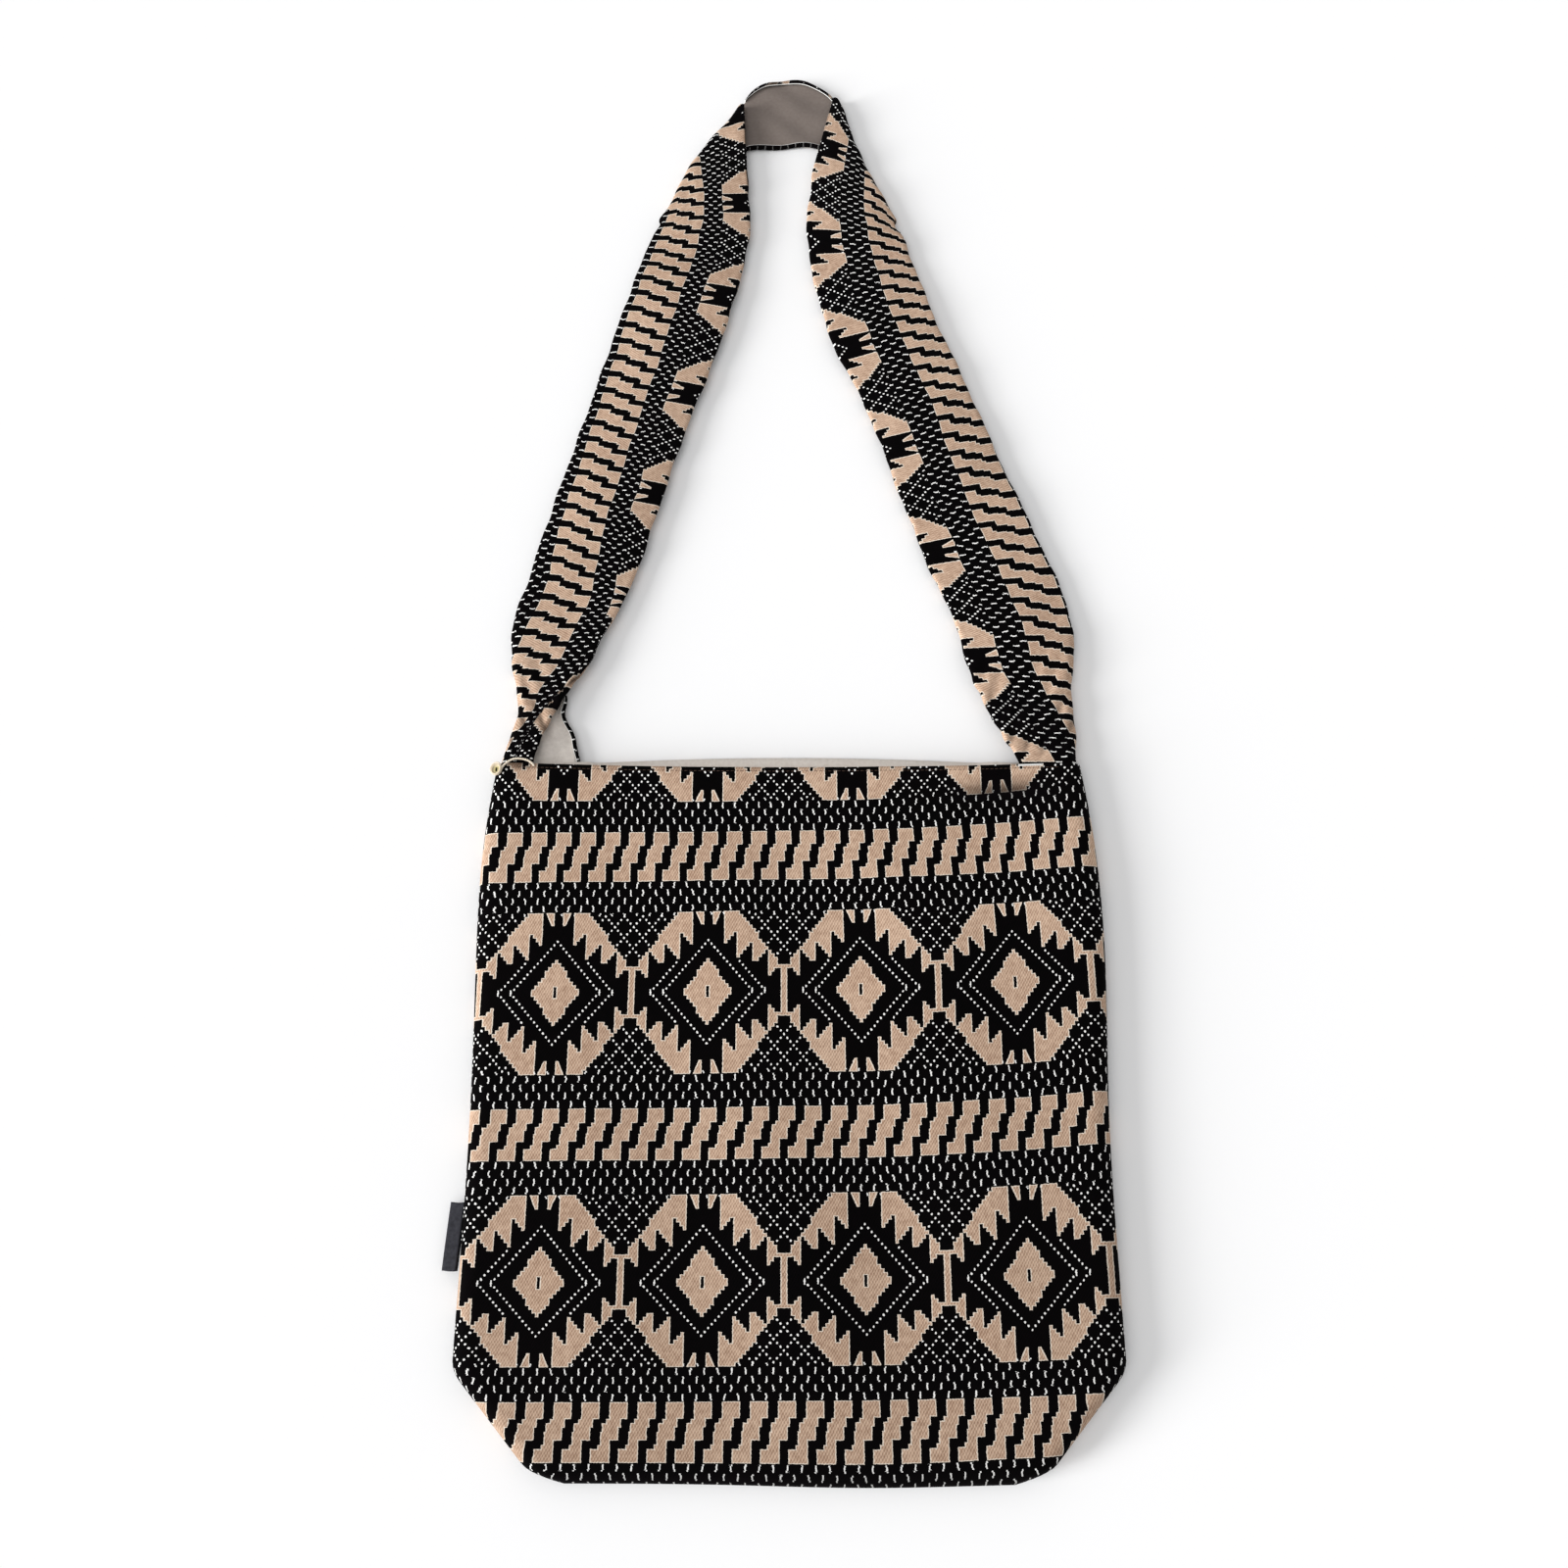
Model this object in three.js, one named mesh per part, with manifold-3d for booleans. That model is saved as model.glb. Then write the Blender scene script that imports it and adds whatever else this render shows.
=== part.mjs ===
// Woven sling bag, laid flat on its back panel: a jacquard shell with boxed base corners,
// a plain lining, one wide strap turned over at its top, a blank side label and a corner button.
// Millimetres. Z is up, Y runs from the base to the strap, X to the right of the front panel.
import * as THREE from 'three';
import { mergeVertices } from 'three/addons/utils/BufferGeometryUtils.js';
import Module from 'manifold-3d';

// Shell
const BAG_HEIGHT = 421;            // base seam to the rim at the side seams
const BAG_HALF_WIDTH = 190;        // middle of the bag to a side seam
const SIDE_BELLY = 5.5;            // how far the sides bow out below the mouth
const BELLY_START = 127;           // height at which the sides start to bow
const BELLY_LEAN = 2.2;            // above 1, the belly sits nearer the mouth
const BASE_CORNER = 57;            // leg of the bevel where a base corner is boxed
const BASE_CORNER_SOFTNESS = 6;    // rounding at the upper end of the bevel
const BASE_CORNER_TUCK = 15;       // rounding at the lower end of the bevel
const SHELL_WALL = 1.2;
const SEAM_HEIGHT = 7.5;           // side and base seams above the table
const SIDE_ROLL = 12;              // width over which the cloth turns over to a side seam
const BASE_ROLL = 10;              // length over which it turns over to the base seam
const SHOULDER_HEIGHT = 16;        // front cloth just inside the side roll
const MOUTH_HEIGHT = 15;           // the same at the mouth
const MOUTH_FLAT = 34;             // length below the rim that lies at the mouth height
const MOUTH_EASE = 90;             // length over which it rises to the shoulder height
const CROWN = 3;                   // extra rise in the middle of the front
const FOLD_DEPTH = 1.3;            // soft folds that run down the front
const FOLD_SPACING = 118;
const FOLD_LEAN = 0.22;            // sideways drift of a fold for each length up the front
const FRONT_RIM_DIP = 3.5;         // the front rim hangs back in the middle
const BACK_RIM_RISE = 8;           // the back rim stands out beyond it
const RIM_EASE = 60;               // length below the rim that follows its curve

// Woven figures, in low relief on the front: stripes of leaning bars and rows of medallions
const FIGURE_RISE = 0.4;
const FIGURE_ROOT = 0.5;           // how far a figure reaches into the panel
const THREAD = 1.9375;             // one step of the pattern across the cloth
const WOVEN_ROW = 2.2;             // one step up the cloth
const BAR_STEP = 8;                // threads from bar to bar
const MEDALLION_STEP = 48;         // threads from medallion to medallion
const PATTERN_MIDDLE = -3;         // the pattern sits a little left of the bag's middle
const STRIPE_HEIGHTS = [27, 187, 357];
const MEDALLION_HEIGHTS = [104, 271.5];

// Lining
const LINING_WALL = 0.7;
const LINING_GAP = 0.3;
const LINING_SHORT = 2.2;          // the shell turns over the lining's edge at the mouth
const SEAM_GAP = 0.3;              // between the front and back cloths at a seam

// Strap
const STRAP_WIDTH = 76;
const STRAP_WALL = 0.9;            // jacquard face
const STRAP_LINING_WALL = 0.5;     // plain backing
const STRAP_HEM = 3;               // the face turned over the backing's edges
const STRAP_HEM_WALL = 0.7;
const STRAP_PLY_GAP = 0.4;
const STRAP_TUCK = 14;             // strap end caught between shell and lining
const STRAP_SEAT_GAP = 0.6;
const STRAP_SLACK = 0.8;           // the strap's turn is rounder than the seam it lies in
const STRAP_TURN_RADIUS = 3.4;     // where the strap turns over at its top
const STRAP_CROWN = 2.2;           // the strap's middle stands off the table
const STRAP_CROWN_SPARE = 12;      // with this much of its width turned under, the middle is flat
const STRAP_END_INSET = 68;        // the lining makes room for the strap ends this far in
const STRAP_END_EASE = 13;         // width over which that room closes

// Trim
const LABEL_WIDTH = 38;            // along the side seam
const LABEL_DEPTH = 9;             // out of the seam
const LABEL_PLY = 0.5;
const LABEL_PLY_GAP = 0.5;
const LABEL_HEIGHT = 129;          // label middle above the base seam
const LABEL_DROOP = 0.3;           // radians
const BUTTON_RADIUS = 4;
const BUTTON_RIM = 1.1;
const BUTTON_THICKNESS = 2.6;
const BUTTON_DROP = 5;             // button middle below the rim
const TRIM_GAP = 0.3;
const LOOP_RADIUS = 0.7;

const STRAP_EDGE = STRAP_WALL + 2 * STRAP_PLY_GAP + STRAP_LINING_WALL + STRAP_HEM_WALL;
const LINING_INSET = SHELL_WALL + LINING_GAP;
const STRAP_INSET = SHELL_WALL + STRAP_SEAT_GAP;
const STRAP_ROOM = STRAP_INSET + STRAP_SLACK + STRAP_EDGE + STRAP_SEAT_GAP - LINING_INSET;
const TUCK_HEIGHT = BAG_HEIGHT - STRAP_TUCK;

const COLOURS = {
  jacquard: 0x4b3e37,
  lining: 0xd9d2c8,
  backing: 0x8c8378,
  label: 0x3a393d,
  button: 0xd8c9a6,
  cord: 0xe6dcc8,
};

function piece(name, geometry, colour, roughness = 0.9) {
  const material = new THREE.MeshStandardMaterial({ color: colour, roughness, metalness: 0 });
  const mesh = new THREE.Mesh(geometry, material);
  mesh.name = name;
  return mesh;
}

const smooth = (x, low, high) => THREE.MathUtils.smoothstep(x, low, high);

// A closed skin from a grid of rings: rings[i][j] is a point, each ring closes on itself, and the
// triangles of `caps` fill the first and last ring. Points from `returning` on run back along the
// ring's other face, where the quads are split the other way, so that both faces bend alike.
function skinOfRings(rings, caps, returning) {
  const count = rings[0].length;
  const positions = [];
  for (const ring of rings) {
    for (const point of ring) positions.push(point.x, point.y, point.z);
  }
  const index = [];
  for (let i = 0; i + 1 < rings.length; i += 1) {
    for (let j = 0; j < count; j += 1) {
      const next = (j + 1) % count;
      const a = i * count + j;
      const b = i * count + next;
      if (j < returning - 1) {
        index.push(a, b, b + count, a, b + count, a + count);
      } else {
        index.push(a, b, a + count, b, b + count, a + count);
      }
    }
  }
  const last = (rings.length - 1) * count;
  for (const [a, b, c] of caps) {
    index.push(a, c, b, last + a, last + b, last + c);
  }
  const geometry = new THREE.BufferGeometry();
  geometry.setAttribute('position', new THREE.Float32BufferAttribute(positions, 3));
  geometry.setIndex(index);
  geometry.computeVertexNormals();
  return geometry;
}

// Triangles over the end of a ring made of an outer run of points and the same number of
// points coming back along the inner run.
function stripCap(count) {
  const pairs = [];
  for (let j = 0; j + 1 < count / 2; j += 1) {
    const back = count - 1 - j;
    pairs.push([j, j + 1, back - 1], [j, back - 1, back]);
  }
  return pairs;
}

// Half width of the shell at height y: straight at the base, bowed below the mouth, and cut
// back at 45 degrees over the boxed corners, with both ends of the cut rounded.
function halfWidth(y) {
  const above = THREE.MathUtils.clamp((y - BELLY_START) / (BAG_HEIGHT - BELLY_START), 0, 1);
  const belly = SIDE_BELLY * Math.sin(Math.PI * above ** BELLY_LEAN);
  const cut = BASE_CORNER - y;
  const soft = BASE_CORNER_SOFTNESS;
  let bevel = Math.max(0, cut);
  if (Math.abs(cut) < soft) bevel = (cut + soft) ** 2 / (4 * soft);
  const tuck = BASE_CORNER_TUCK * Math.max(0, 1 - y / BASE_ROLL) ** 2;
  return BAG_HALF_WIDTH + belly - bevel - tuck;
}

// Height of the front cloth above the table, away from its edges.
function frontHeight(x, y) {
  const rise = smooth(BAG_HEIGHT - y, MOUTH_FLAT, MOUTH_EASE);
  const shoulder = THREE.MathUtils.lerp(MOUTH_HEIGHT, SHOULDER_HEIGHT, rise);
  const across = Math.max(0, 1 - (x / BAG_HALF_WIDTH) ** 2);
  const along = smooth(y, 0, BASE_CORNER * 2) * rise;
  const fold = Math.sin((2 * Math.PI * (x + FOLD_LEAN * y)) / FOLD_SPACING);
  return shoulder + across * along * (CROWN + FOLD_DEPTH * fold);
}

// Rows of the shell's grid from the base seam to the mouth. A row holds its turn at the base
// seam, 0 on the seam and 1 on the flat, or the height y that it lies at.
const BASE_TURNS = [0, 1 / 3, 2 / 3];
const LINING_STEP = 6;
const ROW_HEIGHTS = [
  BASE_ROLL,
  (BASE_ROLL + BASE_CORNER - BASE_CORNER_SOFTNESS) / 2,
  BASE_CORNER - BASE_CORNER_SOFTNESS,
  BASE_CORNER + BASE_CORNER_SOFTNESS,
];
const BODY_ROWS = 5;
const BODY_TOP = TUCK_HEIGHT - 3 * LINING_STEP;
const BODY_BOTTOM = BASE_CORNER + BASE_CORNER_SOFTNESS;
for (let i = 1; i <= BODY_ROWS; i += 1) {
  ROW_HEIGHTS.push(THREE.MathUtils.lerp(BODY_BOTTOM, BODY_TOP, i / BODY_ROWS));
}
ROW_HEIGHTS.push(TUCK_HEIGHT - LINING_STEP, BAG_HEIGHT - LINING_STEP, BAG_HEIGHT);

// Columns from the left seam to the right one: the turn at the side seam, then distances in
// from the seam, then shares of the middle stretch.
const SIDE_TURNS = [0, 1 / 3, 2 / 3, 1];
const SIDE_DISTANCES = [
  (SIDE_ROLL + STRAP_END_INSET) / 3,
  STRAP_END_INSET - STRAP_END_EASE,
  STRAP_END_INSET,
];
const MIDDLE_COLUMNS = 6;

function columns() {
  const left = [];
  for (const turn of SIDE_TURNS) left.push({ side: -1, turn });
  for (const distance of SIDE_DISTANCES) left.push({ side: -1, distance });
  const middle = [];
  for (let i = 1; i < MIDDLE_COLUMNS; i += 1) {
    middle.push({ side: 0, share: (2 * i) / MIDDLE_COLUMNS - 1 });
  }
  const right = left.map((column) => ({ ...column, side: 1 })).reverse();
  return [...left, ...middle, ...right];
}

const COLUMNS = columns();

// A point of the bag's cloth, lying `inset` inside the outer face. `face` is 1 on the front and
// -1 on the back. Across, the section is flat and turns over to the seam in a quarter ellipse;
// the base turns over in the same way.
function shellPoint(face, column, row, insetAt) {
  const turning = row.turn !== undefined;
  const baseAngle = turning ? (row.turn * Math.PI) / 2 : Math.PI / 2;
  const nominal = turning ? BASE_ROLL * (1 - Math.cos(baseAngle)) : row.y;
  const half = halfWidth(nominal);
  let x = 0;
  let sideAngle = Math.PI / 2;
  if (column.turn !== undefined) {
    sideAngle = (column.turn * Math.PI) / 2;
    x = column.side * (half - SIDE_ROLL * (1 - Math.cos(sideAngle)));
  } else if (column.distance !== undefined) {
    x = column.side * (half - column.distance);
  } else {
    x = column.share * (half - STRAP_END_INSET);
  }
  const inset = insetAt(x, nominal);
  x -= Math.sign(x) * inset * Math.cos(sideAngle);
  let y = nominal + inset * Math.cos(baseAngle);
  const across = Math.max(0, 1 - (x / BAG_HALF_WIDTH) ** 2);
  const nearRim = smooth(nominal, BAG_HEIGHT - RIM_EASE, BAG_HEIGHT);
  y += nearRim * across * (face > 0 ? -FRONT_RIM_DIP : BACK_RIM_RISE);
  const seam = SEAM_HEIGHT + (face * SEAM_GAP) / 2;
  const reach = face > 0 ? frontHeight(x, nominal) - seam : seam;
  const z = seam + face * (reach - inset) * Math.sin(sideAngle) * Math.sin(baseAngle);
  return new THREE.Vector3(x, y, z);
}

// One cloth of the bag: the faces at two insets, joined round the edge into a closed solid.
function bagCloth(face, outerInset, innerInset, shortening) {
  const rows = BASE_TURNS.map((turn) => ({ turn }));
  for (const y of ROW_HEIGHTS) rows.push({ y });
  const rings = rows.map((row) => {
    const outer = COLUMNS.map((column) => shellPoint(face, column, row, outerInset));
    const inner = COLUMNS.map((column) => shellPoint(face, column, row, innerInset));
    const ring = [...outer, ...inner.reverse()];
    if (row.y === BAG_HEIGHT) {
      for (const point of ring) point.y -= shortening;
    }
    return face > 0 ? ring : ring.reverse();
  });
  return skinOfRings(rings, stripCap(rings[0].length), COLUMNS.length);
}

const constant = (value) => () => value;

// The lining stands further off the shell where the strap ends lie between the two.
function liningInset(extra) {
  return (x, y) => {
    const inward = halfWidth(y) - Math.abs(x);
    const beside = 1 - smooth(inward, STRAP_END_INSET - STRAP_END_EASE, STRAP_END_INSET);
    const above = smooth(y, TUCK_HEIGHT - 3 * LINING_STEP, TUCK_HEIGHT - LINING_STEP);
    return LINING_INSET + extra + STRAP_ROOM * beside * above;
  };
}

// Outlines of the figures, in threads across and rows up from the middle of each. A quarter of a
// medallion is a slanting band with teeth on its inner side.
const BAR = [[0, 7.1], [5.5, 7.1], [0.4, -7.1], [-5.1, -7.1]];
const BAR_START = -1.7;
const QUARTER_BAND = [
  [5, 22], [5, 12.8], [10, 16], [10, 8.5], [16, 12.8], [16, 4.5], [22.4, 7.4], [9.9, 22],
];
const HEART = [[7.8, 0], [0, 8.5], [-7.8, 0], [0, -8.5]];
const POST = [[1, 7.4], [-1, 7.4], [-1, -7.4], [1, -7.4]];
const QUARTERS = [[1, 1], [-1, 1], [-1, -1], [1, -1]];

// Every figure that fits between the side rolls, as an outline in millimetres.
function figureOutlines() {
  const outlines = [];
  const place = (outline, thread, height) => {
    const points = outline.map(([x, y]) => [
      PATTERN_MIDDLE + (thread + x) * THREAD,
      height + y * WOVEN_ROW,
    ]);
    const fits = points.every(([x, y]) => Math.abs(x) < halfWidth(y) - SIDE_ROLL / 2);
    if (fits) outlines.push(points);
  };
  const most = Math.ceil(BAG_HALF_WIDTH / THREAD / MEDALLION_STEP) * MEDALLION_STEP;
  for (const height of STRIPE_HEIGHTS) {
    for (let i = -most; i < most; i += BAR_STEP) place(BAR, i + BAR_START, height);
  }
  for (const height of MEDALLION_HEIGHTS) {
    for (let i = -most; i < most; i += MEDALLION_STEP) {
      const middle = i + MEDALLION_STEP / 2;
      place(POST, i, height);
      place(HEART, middle, height);
      for (const [across, up] of QUARTERS) {
        place(QUARTER_BAND.map(([x, y]) => [x * across, y * up]), middle, height);
      }
    }
  }
  return outlines;
}

const wasm = await Module();
wasm.setup();

function solidOf(geometry) {
  const bare = geometry.clone();
  bare.deleteAttribute('normal');
  bare.deleteAttribute('uv');
  const merged = mergeVertices(bare);
  return new wasm.Manifold(new wasm.Mesh({
    numProp: 3,
    vertProperties: merged.attributes.position.array,
    triVerts: new Uint32Array(merged.index.array),
  }));
}

// The front panel with its figures: a cloth that stands proud of the panel is cut to the outlines
// and joined to it.
function figuredPanel() {
  const raised = solidOf(bagCloth(1, constant(-FIGURE_RISE), constant(FIGURE_ROOT), 0));
  let whole = solidOf(bagCloth(1, constant(0), constant(SHELL_WALL), 0));
  for (const outline of figureOutlines()) {
    const shape = new THREE.Shape(outline.map(([x, y]) => new THREE.Vector2(x, y)));
    const prism = new THREE.ExtrudeGeometry(shape, { depth: SHOULDER_HEIGHT, bevelEnabled: false });
    prism.translate(0, 0, SEAM_HEIGHT);
    whole = whole.add(raised.intersect(solidOf(prism)));
  }
  const mesh = whole.getMesh();
  const geometry = new THREE.BufferGeometry();
  geometry.setAttribute('position', new THREE.BufferAttribute(mesh.vertProperties, 3));
  geometry.setIndex(new THREE.BufferAttribute(mesh.triVerts, 1));
  geometry.computeVertexNormals();
  return geometry;
}

const bag = new THREE.Group();
bag.add(piece('front_panel', figuredPanel(), COLOURS.jacquard));
bag.add(piece('back_panel', bagCloth(-1, constant(0), constant(SHELL_WALL), 0), COLOURS.jacquard));
for (const [name, face] of [['front_lining', 1], ['back_lining', -1]]) {
  const geometry = bagCloth(face, liningInset(0), liningInset(LINING_WALL), LINING_SHORT);
  bag.add(piece(name, geometry, COLOURS.lining, 0.95));
}

// The strap's two edges, hand by hand from the mouth to the fold at the top: inner and outer edge
// as seen from above, with Y counted from the rim, then the face's height, and the width and depth
// of its outer turn. Near the mouth the strap is folded round the side seam, so less than its
// width shows. Where rumples take up some of the width, the share that is left comes last.
const ARC_HALF = SEAM_HEIGHT - STRAP_INSET - STRAP_SLACK;
const TURN_IN = SIDE_ROLL / 2;
const MOUTH_FACE = SEAM_HEIGHT + ARC_HALF;
const edgeIn = (y) => halfWidth(y) - STRAP_INSET - STRAP_SLACK;
const LEFT_LEG = [
  [-167, -STRAP_TUCK, -edgeIn(TUCK_HEIGHT), -STRAP_TUCK, MOUTH_FACE, TURN_IN, ARC_HALF],
  [-167, 0, -edgeIn(BAG_HEIGHT), 0, MOUTH_FACE, TURN_IN, ARC_HALF],
  [-163, 20, -182.5, 20, 10.2, 6, 4.6, 0.86],
  [-155, 38, -179.5, 39, 9.2, 4.6, 4.2, 0.79],
  [-146, 55, -181, 57, 8.6, 4, 4, 0.93],
  [-133, 77, -186, 78, 8, 4, 4],
  [-123, 101, -187, 103, 7.8, 4, 3.8],
  [-108, 135, -180, 145, 6, 4, 3.4],
  [-94, 185, -169, 197, 4.2, 3, 2.5],
  [-74, 259, -150, 271, 3.6, 3, 2.5],
  [-52, 329, -132, 341, 3.8, 3, 2.5],
  [-36, 394, -115, 404, 5, 3, 2.5],
  [-29.5, 441, -105, 429, 6.6, 3, 2.5],
  [-32, 494, -97.5, 439, 7.2, 3, 2.5],
];
const LEFT_FOLD = [[-34.5, 560.5], [-95, 446]];
const RIGHT_LEG = [
  [151, -STRAP_TUCK, edgeIn(TUCK_HEIGHT), -STRAP_TUCK, MOUTH_FACE, TURN_IN, ARC_HALF],
  [151, 0, edgeIn(BAG_HEIGHT), 0, MOUTH_FACE, TURN_IN, ARC_HALF],
  [141, 22, 188.5, 22, 10.2, 6, 4.6],
  [130, 45, 188, 46, 9.2, 4.6, 4.2],
  [121, 69, 190.5, 71, 9, 4.6, 4.4],
  [116, 97, 192.5, 99, 7.6, 4.6, 4.4],
  [107, 124, 187, 129, 5.8, 4, 3.4],
  [96, 153, 175, 165, 4.2, 3, 2.5],
  [78, 209, 153, 225, 3.6, 3, 2.5],
  [57, 277, 130, 295, 3.6, 3, 2.5],
  [33, 335, 109, 354, 3.8, 3, 2.5],
  [19.5, 394, 95, 403, 5, 3, 2.5],
  [15, 443, 90, 429, 6.6, 3, 2.5],
  [20, 494, 84, 438, 7.2, 3, 2.5],
];
const RIGHT_FOLD = [[36.5, 568], [81, 447]];
const TOP_ARC = [
  [[-27, 577], [-82, 466]],
  [[-17, 585.5], [-62, 493]],
  [[-6, 589], [-34, 518]],
  [[4, 590], [-9, 521]],
  [[15, 587.5], [17, 523]],
  [[27, 580], [46, 507]],
  [[34, 573.5], [68, 469]],
];
const FOLD_STEPS = 4;
const TOP_STEPS = 8;
const STRAP_PARTS = 9;
const FIRST_GATHER = 2;            // spans of a leg, from its end, that are made of two steps
const LAST_GATHER = 5;

// Point at a distance along a line across the strap: over its face from the inner edge, round the
// outer turn, and back underneath. A turn that takes in little cloth is only a curled edge.
function acrossPoint(inner, outer, face, radiusX, radiusZ, share, place) {
  const width = STRAP_WIDTH * share;
  const u = place * share;
  const span = inner.distanceTo(outer);
  const direction = outer.clone().sub(inner).normalize();
  const radius = Math.sqrt((radiusX ** 2 + radiusZ ** 2) / 2);
  const spare = Math.max(0, width - span);
  const quarter = (Math.PI / 2 - 1) * radius;
  const curl = Math.cbrt((6 * spare) / radius);
  const flat = spare > quarter ? span - radiusX : width - radius * curl;
  const scale = spare > 0 ? 1 : span / width;
  const beyond = Math.max(0, u - flat);
  const angle = Math.min(Math.PI, beyond / radius);
  let distance = Math.min(u, flat) * scale;
  let height = face;
  if (spare > 0 && beyond > 0) {
    distance += radiusX * Math.sin(angle) - Math.max(0, beyond - Math.PI * radius);
    height -= radiusZ * (1 - Math.cos(angle));
  } else {
    distance = u * scale;
  }
  const arched = 1 - smooth(spare, 0, STRAP_CROWN_SPARE);
  const arch = STRAP_CROWN * Math.sin((Math.PI * u) / width) * arched;
  const point = inner.clone().addScaledVector(direction, distance);
  return point.setZ(height + arch);
}

const overRim = (x, y) => new THREE.Vector3(x, BAG_HEIGHT + y, 0);

// Lines across one leg, from its tucked end to the fold, as functions of the distance along them.
function legLines(leg) {
  const inner = new THREE.CatmullRomCurve3(leg.map((s) => overRim(s[0], s[1])));
  const outer = new THREE.CatmullRomCurve3(leg.map((s) => overRim(s[2], s[3])));
  const form = new THREE.CatmullRomCurve3(leg.map((s) => new THREE.Vector3(s[4], s[5], s[6])));
  const left = new THREE.CatmullRomCurve3(leg.map((s) => new THREE.Vector3(s[7] ?? 1, 0, 0)));
  const lines = [];
  const spans = leg.length - 1;
  const steps = [];
  for (let i = 0; i < spans; i += 1) {
    const parts = i >= FIRST_GATHER && i <= LAST_GATHER ? 2 : 1;
    for (let j = 0; j < parts; j += 1) steps.push((i + j / parts) / spans);
  }
  steps.push(1);
  for (const t of steps) {
    const a = inner.getPoint(t);
    const b = outer.getPoint(t);
    const f = form.getPoint(t);
    const share = left.getPoint(t).x;
    lines.push((u) => acrossPoint(a, b, f.x, f.y, f.z, share, u));
  }
  return lines;
}

const straightLine = (inner, outer) => (u) => inner.clone().lerp(outer, u / STRAP_WIDTH);

// Lines round a fold: a half turn about the fold's own line, from the leg down to the table.
function foldLines([inner, outer], hand) {
  const a = overRim(...inner);
  const b = overRim(...outer);
  const along = b.clone().sub(a).normalize();
  const outward = new THREE.Vector3(hand * along.y, -hand * along.x, 0);
  const lines = [];
  for (let i = 0; i <= FOLD_STEPS; i += 1) {
    const angle = (Math.PI * i) / FOLD_STEPS;
    const shift = outward.clone().multiplyScalar(STRAP_TURN_RADIUS * Math.sin(angle));
    shift.z = STRAP_TURN_RADIUS * (1 + Math.cos(angle));
    lines.push(straightLine(a.clone().add(shift), b.clone().add(shift)));
  }
  return lines;
}

function topLines() {
  const all = [LEFT_FOLD, ...TOP_ARC, RIGHT_FOLD];
  const inner = new THREE.CatmullRomCurve3(all.map(([a]) => overRim(...a)));
  const outer = new THREE.CatmullRomCurve3(all.map(([, b]) => overRim(...b)));
  const lines = [];
  for (let i = 1; i < TOP_STEPS; i += 1) {
    lines.push(straightLine(inner.getPoint(i / TOP_STEPS), outer.getPoint(i / TOP_STEPS)));
  }
  return lines;
}

const STRAP_LINES = [
  ...legLines(LEFT_LEG),
  ...foldLines(LEFT_FOLD, 1),
  ...topLines(),
  ...foldLines(RIGHT_FOLD, -1).reverse(),
  ...legLines(RIGHT_LEG).reverse(),
];

const TANGENT_STEP = 0.5;

// A strip of the strap: `section` lists [u, depth under the face] round the strip's section, and
// every point lies at its depth square to the face.
function strapStrip(section, returning, caps) {
  const last = STRAP_LINES.length - 1;
  const rings = STRAP_LINES.map((line, i) => section.map(([u, depth]) => {
    const low = Math.max(0, u - TANGENT_STEP);
    const high = Math.min(STRAP_WIDTH, u + TANGENT_STEP);
    const across = line(high).sub(line(low));
    const along = STRAP_LINES[Math.min(last, i + 1)](u).sub(STRAP_LINES[Math.max(0, i - 1)](u));
    const normal = along.cross(across).normalize();
    return line(u).addScaledVector(normal, -depth);
  }));
  return skinOfRings(rings, caps, returning);
}

// Points of the section at one depth, from one u to another. All plies share the points between,
// which are left out where the strap is always flat, next to its inner edge.
function plyRun(from, to, depth) {
  const run = [[from, depth], [STRAP_HEM, depth], [STRAP_WIDTH - STRAP_HEM, depth], [to, depth]];
  for (let i = 2; i < STRAP_PARTS; i += 1) run.push([(STRAP_WIDTH * i) / STRAP_PARTS, depth]);
  return run.sort(([a], [b]) => Math.sign(to - from) * (a - b));
}

// The plain backing: a flat ply between the turned edges of the face.
function strapBacking() {
  const edge = STRAP_WALL + STRAP_PLY_GAP;
  const depth = STRAP_WALL + STRAP_PLY_GAP;
  const section = [
    ...plyRun(edge, STRAP_WIDTH - edge, depth + STRAP_LINING_WALL),
    ...plyRun(STRAP_WIDTH - edge, edge, depth),
  ];
  return strapStrip(section, section.length / 2, stripCap(section.length));
}

// The jacquard face, its long edges turned over the backing and down on it.
function strapFace() {
  const back = STRAP_EDGE - STRAP_HEM_WALL;
  const inner = [
    [STRAP_HEM, back],
    ...plyRun(STRAP_WALL, STRAP_WIDTH - STRAP_WALL, STRAP_WALL),
    [STRAP_WIDTH - STRAP_HEM, back],
  ];
  inner.splice(1, 0, [STRAP_WALL, back]);
  inner.splice(inner.length - 1, 0, [STRAP_WIDTH - STRAP_WALL, back]);
  const outer = [
    [STRAP_WIDTH - STRAP_HEM, STRAP_EDGE],
    [STRAP_WIDTH, STRAP_EDGE],
    ...plyRun(STRAP_WIDTH, 0, 0),
    [0, STRAP_EDGE],
    [STRAP_HEM, STRAP_EDGE],
  ];
  const section = [...inner, ...outer];
  return strapStrip(section, inner.length, stripCap(section.length));
}

bag.add(piece('strap_face', strapFace(), COLOURS.jacquard));
bag.add(piece('strap_backing', strapBacking(), COLOURS.backing, 0.95));

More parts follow.
